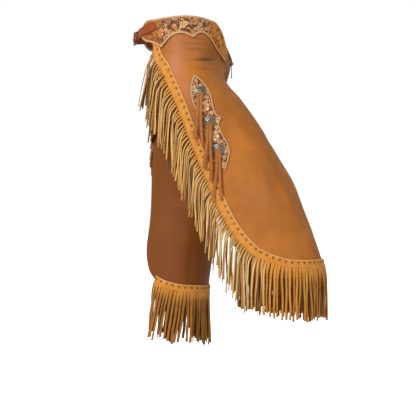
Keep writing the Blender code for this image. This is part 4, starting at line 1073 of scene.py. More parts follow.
def add_rod(bm, segments, radius, length, turn, middle):
    """A short round rod along its own X before it is turned."""
    size = {"radius1": radius, "radius2": radius, "depth": length}
    made = bmesh.ops.create_cone(bm, cap_ends=True, segments=segments, **size)["verts"]
    set_down(bm, made, turn @ Matrix.Rotation(math.radians(90.0), 3, "Y"), middle)


def face_outward(bm, centre_at):
    """Turns the faces round if they look towards the middle of the leg or waist."""
    bm.normal_update()
    outward = 0.0
    for vert in bm.verts:
        centre = centre_at(vert.co.z)
        outward += vert.normal.x * (vert.co.x - centre[0]) + vert.normal.y * (vert.co.y - centre[1])
    if outward < 0.0:
        bmesh.ops.reverse_faces(bm, faces=bm.faces)
        bm.normal_update()


def add_grid(bm, columns, rows):
    """A new grid in the bmesh, and each of its points with its place in the unit square."""
    made = bmesh.ops.create_grid(bm, x_segments=columns, y_segments=rows, size=0.5)["verts"]
    return [(vert, vert.co.x + 0.5, vert.co.y + 0.5) for vert in made]


def raised_grid(grid, place, centre_at, marks):
    """A sheet of leather: place(u, v) gives a point, how far out it stands and the values of its marks."""
    bm, layers = marked_bmesh(*marks)
    out = {}
    for vert, u, v in add_grid(bm, *grid):
        vert.co, out[vert], values = place(u, v)
        paint(vert, layers, values)
    face_outward(bm, centre_at)
    for vert in bm.verts:
        vert.co += vert.normal * out[vert]
    return bm


def ribbon(bm, stations, layers, marks, across):
    """A flat strand through stations of (middle, half-width vector), added to the bmesh."""
    for vert, u, v in add_grid(bm, across, len(stations) - 1):
        middle, half = stations[round(v * (len(stations) - 1))]
        vert.co = middle + half * (2.0 * u - 1.0)
        paint(vert, layers, marks(u, v))


def make_piece(bm, name, materials, slot, *replaced):
    """The bmesh as a piece of the object, in the place of the nodes that it stands for."""
    mesh = mesh_from(bm, name)
    for material in materials:
        mesh.materials.append(bpy.data.materials[material])
    mesh.shade_smooth()
    piece = add_object(name, mesh)
    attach(piece, BODY)
    if replaced:
        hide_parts(*replaced)
    return piece


def add_wall(piece, thickness, offset, inner=0, rim=0):
    """Gives a sheet its thickness, with other materials on its back and its cut edge if asked."""
    wall = piece.modifiers.new("leather", "SOLIDIFY")
    wall.thickness = thickness
    wall.offset = offset
    wall.use_rim = True
    wall.material_offset = inner
    wall.material_offset_rim = rim


def patches_at(places, point):
    """How strongly the soft patches of painted shade and painted highlight show at a point of the outside of the
    leg.
    """
    shown = 0.0
    for x, z, half_x, half_z, amount in places:
        reach = ((point.x - x) / half_x) ** 2 + ((point.z - z) / half_z) ** 2
        if reach < 9.0:
            shown = max(shown, amount * math.exp(-reach))
    return shown


def crease_depth(leg, angle, z):
    """How far the small creases and the hand of the leather press the panel in, and how much painted shade the
    crease gets.
    """
    depth = sharp = 0.0
    for at, height, half_angle, half_height, deep, slope in CREASES[leg.name]:
        across = (angle - at) / half_angle
        down = (z - height - slope * (angle - at)) / half_height
        reach = across * across + down * down
        if reach < 12.0:
            depth += deep * math.exp(-reach)
            if half_height < SHARP_CREASE:
                sharp = max(sharp, math.exp(-reach) * min(1.0, deep / FULL_CREASE))
    wide = noise.noise(Vector((angle / 26.0, z * 9.0, 3.0 * leg.side)))
    fine = noise.noise(Vector((angle / 7.0, z * 34.0, 9.0 + leg.side)))
    return depth + HAND_DEPTHS[0] * (0.5 + 0.5 * wide) + HAND_DEPTHS[1] * (0.5 + 0.5 * fine), sharp


def waist_centre(z):
    return (0.0, 0.0)


def colour_setting(name, description, default):
    return bpy.props.FloatVectorProperty(name=name, description=description, subtype="COLOR", default=default)


def length_setting(name, description, default):
    return bpy.props.FloatProperty(name=name, description=description, unit="LENGTH", default=default)


class ChapsSettings(bpy.types.PropertyGroup):
    """Sizes and colours that a user would change."""

    panel_colour: colour_setting("Panel colour", "Smooth leather of the legs", (0.555, 0.182, 0.025))
    flesh_colour: colour_setting("Flesh side", "Rough inner side of the leather", (0.36, 0.17, 0.07))
    suede_colour: colour_setting("Suede colour", "Golden suede of the fringe", (0.78, 0.275, 0.024))
    suede_pale: colour_setting("Pale suede", "Suede of the long side strands", (0.99, 0.635, 0.245))
    tooled_light: colour_setting("Tooling highlight", "Top of the tooling", (0.96, 0.62, 0.34))
    tooled_gold: colour_setting("Tooling gold", "Top of the tooling at the front", (0.96, 0.37, 0.060))
    tooled_rust: colour_setting("Tooling rust", "Top of the tooling at the back", (0.62, 0.205, 0.050))
    tooled_middle: colour_setting("Tooling middle", "Slopes of the tooling", (0.44, 0.145, 0.035))
    tooled_dark: colour_setting("Tooling ground", "Stamped ground of the tooling", (0.030, 0.009, 0.004))
    border_colour: colour_setting("Natural border", "Undyed border of the tooled pieces", (0.80, 0.42, 0.19))
    strap_colour: colour_setting("Strap colour", "Dark leather of the straps", (0.38, 0.080, 0.016))
    tie_colour: colour_setting("Tie colour", "Leather thongs", (0.50, 0.165, 0.032))
    silver_colour: colour_setting("Silver", "Bright metal of the conchos", (0.37, 0.32, 0.25))
    strand_pitch: length_setting("Strand pitch", "Distance between strands along the strip", 0.0046)
    strand_width: length_setting("Strand width", "Width of one strand", 0.0074)
    spot_pitch: length_setting("Spot pitch", "Distance between the domed spots", 0.0185)
    spot_radius: length_setting("Spot radius", "Half the width of a domed spot", 0.0036)
    stitch_pitch: length_setting("Stitch pitch", "Distance between stitches", 0.0034)
    tooling_depth: length_setting("Tooling depth", "How deep the ground is stamped", 0.0010)


class CHAPS_OT_stage(bpy.types.Operator):
    """Camera at the photographed angle, plain floor and soft lights"""

    bl_idname = "chaps.stage"
    bl_label = "Stage"

    def execute(self, context):
        scene = context.scene
        scene.camera = add_object("camera", bpy.data.cameras.new("camera"))
        scene.camera.data.sensor_width = CAMERA_SENSOR
        scene.camera.data.lens = CAMERA_FOCUS_PIXELS / PHOTO_PIXELS * CAMERA_SENSOR
        scene.camera.location = CAMERA_PLACE
        scene.camera.rotation_euler = (math.radians(90.0), 0.0, 0.0)

        bm = bmesh.new()
        bmesh.ops.create_grid(bm, x_segments=1, y_segments=1, size=FLOOR_HALF)
        bmesh.ops.translate(bm, verts=bm.verts, vec=(0.0, 0.0, FLOOR_Z))
        floor = add_object("floor", mesh_from(bm, "floor"))
        shading, shader = new_material("pale floor")
        seen = shading.add("ShaderNodeLightPath").outputs["Is Camera Ray"]
        inputs = {"Base Color": FLOOR_COLOUR, "Roughness": 0.9, "Emission Color": WORLD_COLOUR}
        shading.fill(shader, {**inputs, "Emission Strength": shading.times(seen, FLOOR_GLOW)})
        floor.data.materials.append(bpy.data.materials["pale floor"])

        scene.world = bpy.data.worlds.new("studio")
        scene.world.use_nodes = True
        shading = Shading(scene.world.node_tree)
        seen = shading.add("ShaderNodeLightPath").outputs["Is Camera Ray"]
        strength = shading.spread(seen, 0.0, 1.0, WORLD_STRENGTH, WORLD_SEEN)
        background = scene.world.node_tree.nodes["Background"]
        shading.fill(background, {"Color": WORLD_COLOUR, "Strength": strength})
        scene.view_settings.view_transform = "Standard"
        for name, place, size, power in LIGHTS:
            light = add_object(name, bpy.data.lights.new(name, "AREA"))
            light.data.size = size
            light.data.energy = power
            light.location = place
            light.rotation_mode = "QUATERNION"
            light.rotation_quaternion = (Vector(LIGHT_TARGET) - Vector(place)).to_track_quat("-Z", "Y")
        return {"FINISHED"}


class CHAPS_OT_materials(bpy.types.Operator):
    """Leathers, suede, metals and thread"""

    bl_idname = "chaps.materials"
    bl_label = "Materials"

    def execute(self, context):
        settings = context.scene.chaps
        make_grain_group()
        make_mottle_group()
        make_nap_group()
        make_smooth_leather("panel leather", settings.panel_colour, 0.72, 1.12)
        make_smooth_leather("strap leather", settings.strap_colour, 0.65, 1.25, rough=(0.38, 0.55))
        make_smooth_leather("thong leather", settings.tie_colour, 0.62, 1.25, rough=(0.48, 0.66))
        make_smooth_leather("cut edge leather", (0.16, 0.050, 0.016), 0.8, 1.1)
        make_flesh_side("flesh side", settings.flesh_colour)
        make_suede("fringe suede", settings.suede_colour, settings.suede_pale)
        make_tooled_leather("tooled leather", settings)
        make_silver("engraved silver", settings.silver_colour, (0.020, 0.015, 0.011))
        make_dark_metal("spot metal", (0.34, 0.145, 0.045), 0.5, metallic=0.5)
        make_dark_metal("buckle steel", (0.30, 0.28, 0.25), 0.28)
        make_thread("waxed thread", (0.62, 0.42, 0.20))
        make_thread("dark thread", (0.26, 0.075, 0.025))
        return {"FINISHED"}


class CHAPS_OT_panels(bpy.types.Operator):
    """The two leg panels, with their folds"""

    bl_idname = "chaps.panels"
    bl_label = "Leg panels"

    def execute(self, context):
        for leg in LEGS.values():

            def place(u, v, leg=leg):
                v = v**PANEL_ROW_POWER
                angle, z = leg.panel_place(u, v)
                rim = min(u, 1.0 - u, v, 1.0 - v) * 0.55
                edge = 1.0 - smoothstep(0.0, 0.006, rim)
                point = leg.base(angle, z, folded=True)
                depth, crease = crease_depth(leg, angle, z)
                # Painted shade on the inner side and on patches of the right panel, painted highlights on other
                # patches of it, and on the left panel painted shade in shaded places, lifted in others
                soiled = smoothstep(*INNER_SHADE_ANGLES, angle)
                rubbed = 0.0
                if leg.side < 0 and angle < 0.0:
                    soiled = max(soiled, patches_at(PAINTED_SHADE_PLACES, point))
                    rubbed = patches_at(PAINTED_HIGHLIGHT_PLACES, point)
                elif leg.side > 0:
                    crease = max(crease, patches_at(SHADED_PLACES, point))
                    soiled *= 1.0 - patches_at(LIFTED_SHADE_PLACES, point)
                return point, PANEL_FACE - depth, (edge, rubbed, soiled, crease)

            bm = raised_grid(PANEL_GRID, place, leg.centre, ("edge", "rubbed", "soiled", "crease"))
            leathers = ("panel leather", "flesh side", "strap leather")
            name = f"smooth_leg_panel_{leg.name}"
            piece = make_piece(bm, name, leathers, "panel_leather", f"leg_panel_{leg.name}")
            add_wall(piece, PANEL_THICK, -1.0, inner=1, rim=2)
        return {"FINISHED"}


class CHAPS_OT_fringes(bpy.types.Operator):
    """Suede strips along the side and the hem, slit into hanging strands"""

    bl_idname = "chaps.fringes"
    bl_label = "Fringes"

    def execute(self, context):
        settings = context.scene.chaps
        for leg, sweep in ((RIGHT_LEG, SWEEP_RIGHT), (LEFT_LEG, SWEEP_LEFT / 2)):
            draw = random.Random(40 + leg.side)
            rows = leg.fringe_path()
            bm, layers = marked_bmesh("along", "shade", "pale", "edge")
            self.add_strip(bm, leg, rows, layers)
            usable = rows[-1][0] - 2 * END_CLEAR
            count = round(usable / settings.strand_pitch)
            bunch = place_in_bunch = 0
            for k in range(count):
                if place_in_bunch >= bunch:
                    bunch, place_in_bunch = draw.choice(BUNCHES), 0
                    sway = draw.uniform(-1.0, 1.0)
                off_middle = place_in_bunch - (bunch - 1) / 2
                place_in_bunch += 1
                length = END_CLEAR + (k + 0.5) * usable / count + draw.uniform(-ROOT_JITTER, ROOT_JITTER)
                self.add_strand(bm, leg, rows, length, sweep, draw, (sway, off_middle), k, layers)
            bm.normal_update()
            name = f"suede_fringe_{leg.name}"
            piece = make_piece(bm, name, ("fringe suede",), "fringe_suede", f"fringe_{leg.name}")
            add_wall(piece, FRINGE_THICK, 0.0)
        return {"FINISHED"}

    def add_strip(self, bm, leg, rows, layers):
        """The whole part of the strip, from its line on the panel to where the slits begin."""
        columns = round(rows[-1][0] / STRIP_COLUMN)
        lines = {}
        for vert, u, v in add_grid(bm, columns, STRIP_ROWS):
            key = round(u, 5)
            if key not in lines:
                length = END_CLEAR + u * (rows[-1][0] - 2 * END_CLEAR)
                middle, free = strip_end(leg, rows, length)
                lines[key] = (leg.inside_path(rows, length, STRIP_ON_PANEL, STRIP_MID), middle, free)
            inner, middle, free = lines[key]
            vert.co = inner.lerp(middle, 2.0 * v) if v < 0.5 else middle.lerp(free, 2.0 * v - 1.0)
            vert.co.y += 0.0004 * noise.noise(vert.co * 60.0)
            paint(vert, layers, (0.0, STRIP_SHADE, 0.0, 1.0 - smoothstep(0.0, 0.09, v)))

    def add_strand(self, bm, leg, rows, length, sweep, draw, bunch, number, layers):
        """One strand: off the strip at a slant, then down under its own weight, drawn to its neighbours."""
        angle, z, tangent, away, normal = leg.on_path(rows, length)
        values = [draw.uniform(-1.0, 1.0) for _ in range(8)]
        if z > FIRST_SCENE_STRAND_Z:
            return
        steep = smoothstep(0.25, 0.7, abs(tangent.z))
        width = bpy.context.scene.chaps.strand_width * (1.0 - SIDE_STRAND_NARROWER * steep)
        sway, off_middle = bunch
        behind = number % 2 == 1
        root = strip_end(leg, rows, length)[1] - away * STRAND_ROOT
        if behind:
            width *= UNDER_WIDER
            root -= normal * BEHIND
        if leg.side < 0:
            sweep += TOP_SWEEP * smoothstep(*TOP_SWEEP_DEPTHS, -z)
        hang = strand_direction(tangent, sweep)
        if leg.side > 0:
            lean = FAR_HEM_LEAN * smoothstep(*FAR_HEM_LEAN_X, root.x) * (1.0 - steep)
            hang = (hang - Vector((math.tan(math.radians(lean)), 0.0, 0.0))).normalized()
        level = Vector((tangent.x, tangent.y, 0.0))
        level = level.normalized() if level.length > 0.05 else Vector((1.0, 0.0, 0.0))
        outward = Vector((normal.x, normal.y, 0.0)).normalized()
        total = STRAND_LENGTH + STRAND_SPARE - HEM_TRIM * (1.0 - steep)
        total += (0.004 + 0.007 * steep) * (values[0] + sway) + 0.003 * math.sin(number * 0.7)
        turn_end = math.radians((30.0 + 30.0 * values[1]) * steep + 22.0 * values[1] * (1.0 - steep))
        twist = math.radians(50.0 * values[2])
        if behind:
            side_move, out_move = 0.002 * values[3], -0.0060 + 0.0012 * values[4]
            total -= UNDER_SHORTER[0] + UNDER_SHORTER[1] * values[7]
        else:
            pull = 0.0014 + 0.0006 * values[3]
            side_move = (0.0044 + 0.0022 * steep) * sway - pull * off_middle
            out_move = 0.0014 + 0.0026 * values[4]
        turn_length = STRAND_TURN * (1.0 + 0.35 * values[4])
        slant = STRAND_SLANT + 0.13 * values[1]
        stations = []
        spot = root
        for share in shares(STRAND_STEPS):
            fall = smoothstep(0.0, turn_length, share * total)
            bend = smoothstep(0.05, 1.0, share)
            flat = tangent.lerp(level, fall).normalized()
            turned = Matrix.Rotation(turn_end * fall + twist * bend, 3, hang) @ flat
            wave = 0.0018 * math.sin(share * (6.0 + 3.0 * values[5]) + 3.0 * values[6]) * bend
            moved = spot + level * (side_move * bend**1.4 + wave) + outward * out_move * bend
            wider = HEM_ROOT_WIDER * (1.0 - steep) * (1.0 - smoothstep(0.0, HEM_NARROWS_TO, share))
            uneven = 0.16 * values[7] * smoothstep(0.0, 0.3, share)
            stations.append((moved, turned * (width / 2) * (1.0 + wider + uneven - 0.12 * share)))
            heading = away.lerp(hang, slant + (1.0 - slant) * fall).normalized()
            spot = spot + heading * (total / STRAND_STEPS)
        # The under layer is painted nearly black as painted shade in the gaps between the front strands; the inner
        # side of each leg gets painted shade too
        low = steep * smoothstep(*PALEST_Z, -z) if leg.side < 0 else 0.0
        shade = 0.08 + 0.06 * values[6] + LOW_UNDER_SHADE * low if behind else 0.84 + 0.18 * values[6]
        shade *= 1.0 - INNER_FRINGE_SHADE * smoothstep(*INNER_SHADE_ANGLES, angle)
        # the left leg's strands stay less pale: painted shade on the far leg
        pale = smoothstep(0.10, 0.60, steep) * (0.85 if leg.side < 0 else 0.35) * (0.78 + 0.22 * values[2])
        pale *= 1.0 + 0.35 * smoothstep(*PALEST_Z, -z)

        def marks(u, v):
            down = smoothstep(0.0, 0.22, v)
            if behind:
                return (v, shade, pale, 0.0)
            # painted shade along the strand's sides
            edge = abs(2.0 * u - 1.0) ** 2.5 * smoothstep(0.01, 0.05 + 0.30 * (1.0 - steep), v)
            rounded = 1.0 - STRAND_EDGE_SHADE * edge
            return (v, (STRIP_SHADE + (shade - STRIP_SHADE) * down) * rounded, pale * down, 0.0)

        ribbon(bm, stations, layers, marks, across=2 if behind else 4)


class CHAPS_OT_yokes(bpy.types.Operator):
    """The tooled yokes, with their scalloped natural borders"""

    bl_idname = "chaps.yokes"
    bl_label = "Tooled yokes"

    def execute(self, context):
        depth = context.scene.chaps.tooling_depth
        for leg in LEGS.values():
            lines = yoke_lines(leg)
            motifs = yoke_motifs(lines)

            def place(u, v, leg=leg, lines=lines, motifs=motifs):
                angle, z = yoke_place(u, v)
                along, height, slope = curve_through(lines, u)
                below = (1.0 - v) * height * math.cos(math.atan(slope))
                ends = min(along, lines[-1][1] - along)
                rim = min(below, v * height, ends)
                flat_rim = min(below - YOKE_BORDER, v * height - YOKE_TOP_BORDER, ends - YOKE_TOP_BORDER)
                near = motifs[int(along / MOTIF_BIN)]
                relief, out, border = tooled_surface(along, v * height, flat_rim, rim, near)
                rust = 1.0 - smoothstep(0.070, 0.112, along)
                gold = smoothstep(0.205, 0.245, along)
                edge = 1.0 - smoothstep(0.0, 0.0012, rim)
                face = yoke_out(angle) + YOKE_THICK / 2 - depth * (1.0 - out)
                return leg.base(angle, z), face, (relief, border, rust, gold, edge)

            bm = raised_grid(YOKE_GRID, place, leg.centre, ("relief", "border", "rust", "gold", "edge"))
            name = f"tooled_yoke_{leg.name}"
            piece = make_piece(bm, name, TOOLED_LEATHERS, "tooled_leather", f"yoke_{leg.name}")
            add_wall(piece, YOKE_WALL, -1.0, rim=1)
        return {"FINISHED"}


def binned(motifs, axis, length):
    """The motifs that can reach each short stretch of a piece, in the order in which they overlap."""
    bins = []
    for k in range(int(length / MOTIF_BIN) + 2):
        low, high = k * MOTIF_BIN, (k + 1) * MOTIF_BIN
        bins.append([row for row in motifs if low - row[1][2] < row[1][axis] < high + row[1][2]])
    return bins


def yoke_motifs(lines):
    """Flowers over scrolls over leaves, with close foliage under them, along the yoke."""
    heights = [(along, height) for _, along, height, _ in lines]
    length = heights[-1][0]

    def height_at(along):
        return curve_through(heights, along)[0]

    motifs = []
    for kind, rows in (("flower", YOKE_FLOWERS), ("leaf", YOKE_LEAVES), ("scroll", YOKE_SCROLLS)):
        for k, (x, share, size, turn) in enumerate(rows):
            tone = 0.95 if kind == "flower" else (1.0, 0.70, 0.86)[k % 3]
            motifs.append((kind, (x, share * height_at(x), size * 0.86, turn, tone)))
    motifs += foliage(length, lambda along: (0.0, height_at(along)), YOKE_LEAF_PITCH, YOKE_LEAF_SIZE, 5)
    return binned(motifs, 0, length)


def patch_motifs():
    """The same down the side patch."""
    length = PATCH_HALF_WIDTHS[-1][0]

    def edges_at(along):
        half = curve_through(PATCH_HALF_WIDTHS, along)[0]
        return -half, half

    motifs = []
    for kind, rows in (("flower", PATCH_FLOWERS), ("leaf", PATCH_LEAVES), ("scroll", PATCH_SCROLLS)):
        motifs += [(kind, (x, y, size, turn, 1.0)) for x, y, size, turn in rows]
    close = foliage(length, edges_at, PATCH_LEAF_PITCH, PATCH_LEAF_SIZE, 11)
    motifs += [(kind, (y, x, size, turn, tone)) for kind, (x, y, size, turn, tone) in close]
    return binned(motifs, 1, length)


def yoke_lines(leg):
    """Rows of share, length along the middle, height there and slope of the lower edge."""
    rows, before = [], None
    for share in shares(100):
        upper, lower = yoke_edges(share)
        top, bottom = leg.base(*upper), leg.base(*lower)
        middle = (top + bottom) / 2
        along = 0.0 if before is None else rows[-1][1] + (middle - before[0]).length
        step = 1.0 if before is None else max(0.001, (bottom - before[1]).length)
        drop = 0.0 if before is None else ((top - bottom).length - rows[-1][2]) / step
        rows.append((share, along, (top - bottom).length, max(-1.2, min(1.2, drop))))
        before = (middle, bottom)
    return rows


def tooled_surface(x, y, flat_rim, rim, motifs):
    """Colour height, surface height and border share of a point of tooled leather."""
    border = 1.0 - smoothstep(-0.0004, 0.0004, flat_rim)
    if border > 0.5:
        rolled = smoothstep(0.0, 0.0018, rim)
        groove = smoothstep(0.0, 0.0010, abs(flat_rim))
        return 0.9, 0.25 + 0.75 * rolled * (0.4 + 0.6 * groove), border
    carved, rubbed = tooled_height(x, y, motifs)
    stamped = 0.10 * (0.5 + 0.5 * math.sin(x * 2600.0) * math.sin(y * 2600.0))
    cut = smoothstep(0.0002, 0.0011, flat_rim)
    height = max(carved * cut, stamped)
    return height * rubbed, height, border


class CHAPS_OT_side_patches(bpy.types.Operator):
    """The tooled patches on the outside of the thighs"""

    bl_idname = "chaps.side_patches"
    bl_label = "Side patches"

    def execute(self, context):
        depth = context.scene.chaps.tooling_depth * 0.8
        length = PATCH_HALF_WIDTHS[-1][0]
        motifs = patch_motifs()
        for side, patch in PATCHES.items():

            def place(u, v, patch=patch):
                along = v * length
                half = curve_through(PATCH_HALF_WIDTHS, along)[0]
                slope = (curve_through(PATCH_HALF_WIDTHS, along + 0.001)[0] - half) / 0.001
                across = (2.0 * u - 1.0) * half
                rim = (half - abs(across)) * math.cos(math.atan(slope))
                rim = min(rim, along + 0.002, length - along + 0.002)
                flat_rim = rim - PATCH_BORDER
                near = motifs[int(along / MOTIF_BIN)]
                relief, out, border = tooled_surface(across, along, flat_rim, rim, near)
                edge = 1.0 - smoothstep(0.0, 0.0010, rim)
                point = patch.at(along, across, 0.0)
                return point, PATCH_FACE - depth * (1.0 - out), (relief, border, edge)

            bm = raised_grid(PATCH_GRID, place, patch.leg.centre, ("relief", "border", "edge"))
            name = f"tooled_patch_{side}"
            piece = make_piece(bm, name, TOOLED_LEATHERS, "tooled_leather", f"side_patch_{side}")
            add_wall(piece, PATCH_WALL, -1.0, rim=1)
        return {"FINISHED"}


class CHAPS_OT_conchos(bpy.types.Operator):
    """Domed silver conchos, engraved with rays and a rope ring"""

    bl_idname = "chaps.conchos"
    bl_label = "Conchos"

    def execute(self, context):
        for side, patch in PATCHES.items():
            for number, along in enumerate(CONCHOS_ALONG):
                face, normal, rotation = facing(patch, along)
                bm, layers = marked_bmesh("relief")
                rings = [bm.verts.new((r, 0.0, h)) for r, h in CONCHO_PROFILE]
                edges = [bm.edges.new(pair) for pair in zip(rings, rings[1:])]
                spun = {"cent": (0.0, 0.0, 0.0), "axis": (0.0, 0.0, 1.0), "angle": 2 * math.pi}
                bmesh.ops.spin(bm, geom=rings + edges, steps=CONCHO_STEPS, use_merge=True, **spun)
                bmesh.ops.remove_doubles(bm, verts=bm.verts, dist=0.00002)
                for vert in bm.verts:
                    paint(vert, layers, (self.engrave(vert),))
                bmesh.ops.recalc_face_normals(bm, faces=bm.faces)
                seat = Matrix.Translation(face + normal * CONCHO_SEAT) @ rotation.to_matrix().to_4x4()
                bmesh.ops.transform(bm, verts=bm.verts, matrix=seat)
                node = f"concho_{side}_{number + 1}"
                make_piece(bm, f"engraved_{node}", ("engraved silver",), "concho_silver", node)
        return {"FINISHED"}

    def engrave(self, vert):
        """Cuts rays, a rope ring and a scalloped rim into the plain turned form, and gives the relief."""
        reach = math.hypot(vert.co.x, vert.co.y)
        turn = math.atan2(vert.co.y, vert.co.x)
        height = 0.35
        if vert.co.z > 0.0001:
            if reach > CONCHO_RIM_START:
                height = 0.45 + 0.55 * abs(math.sin(turn * 9.0))
                vert.co.z += 0.0004 * (height - 0.5)
            elif reach > CONCHO_ROPE_START:
                height = 0.15 + 0.85 * (0.5 + 0.5 * math.sin(turn * 36.0 + reach * 2600.0))
                vert.co.z += 0.0003 * height
            elif reach > CONCHO_BOSS:
                petals = abs(math.sin(turn * 6.0))
                height = smoothstep(0.15, 0.55, petals) * (0.55 + 0.45 * smoothstep(CONCHO_BOSS, 0.0090, reach))
                vert.co.z += 0.0006 * (height - 0.6)
            else:
                height = 0.9
        if reach > CONCHO_RADIUS * 0.9:
            wave = 1.0 - 0.030 * (0.5 - 0.5 * math.cos(turn * 18.0))
            vert.co.xy *= wave
        return height


class CHAPS_OT_ties(bpy.types.Operator):
    """The leather thongs through the conchos"""

    bl_idname = "chaps.ties"
    bl_label = "Ties"

    def execute(self, context):
        for side, patch in PATCHES.items():
            for number in range(len(CONCHOS_ALONG)):
                draw = random.Random(7 * number + (1 if side == "right" else 101))
                bm, layers = marked_bmesh("edge")
                self.add_loop(bm, patch, number, layers)
                for strand in (-1.0, 1.0):
                    self.add_end(bm, patch, number, strand, draw, layers)
                bm.normal_update()
                name = f"thong_{side}_{number + 1}"
                piece = make_piece(bm, name, ("thong leather",), "thong_leather", f"tie_{side}_{number + 1}")
                add_wall(piece, TIE_THICK, 0.0)
        return {"FINISHED"}

    def add_loop(self, bm, patch, number, layers):
        """The short bridge of the thong over the middle of the concho."""
        leg = patch.leg
        face, _, _ = facing(patch, CONCHOS_ALONG[number])
        stations = []
        for share in shares(TIE_LOOP_STEPS):
            rise = TIE_OVER - 0.0024 * (2.0 * share - 1.0) ** 2 if share < 0.5 else TIE_OVER
            middle = leg.seen(face.x, face.z + 0.0040 - 0.0110 * share, PATCH_FACE + rise)
            half = 0.0030 + 0.0048 * smoothstep(0.15, 0.8, share)
            stations.append((middle, Vector((half, 0.0, 0.0))))
        ribbon(bm, stations, layers, lambda u, v: (0.5 * abs(2.0 * u - 1.0) ** 4,), across=6)

    def add_end(self, bm, patch, number, strand, draw, layers):
        """One hanging end, with a little twist and its tip cut at a slant."""
        leg = patch.leg
        face, _, _ = facing(patch, CONCHOS_ALONG[number])
        length = TIE_LENGTHS[number][0 if strand < 0 else 1]
        rows = ((0.0055, TIE_OVER, 0.0),) + TIE_OUT[number] + ((length, TIE_TIP_OUT[number], TIE_TIP_SPREAD),)
        twist = math.radians(draw.uniform(12.0, 24.0)) * strand
        phase = draw.uniform(0.0, 6.0)
        stations = []
        for share in shares(TIE_STEPS):
            below = rows[0][0] + (length - rows[0][0]) * share
            out, spread = curve_through(rows, below)
            wave = 0.0012 * math.sin(6.0 * share + phase) * smoothstep(0.2, 1.0, share)
            aside = strand * (THONG_WIDTH / 2 + spread * smoothstep(0.15, 0.75, share)) + wave
            x, z = face.x + aside, face.z - below
            middle = leg.seen(x, z, PATCH_FACE + out)
            ahead = leg.seen(x + 0.002, z, PATCH_FACE + out) - middle
            down = Vector((0.0, 0.0, -1.0))
            across = Matrix.Rotation(twist * smoothstep(0.35, 1.0, share), 3, down) @ ahead.normalized()
            narrow = 1.0 + 0.16 * share
            slant = Vector((0.0, 0.0, 0.35 * strand)) * smoothstep(0.97, 1.0, share)
            stations.append((middle, (across + slant) * (THONG_WIDTH / 2) * narrow))
        ribbon(bm, stations, layers, lambda u, v: (0.6 * abs(2.0 * u - 1.0) ** 4,), across=4)


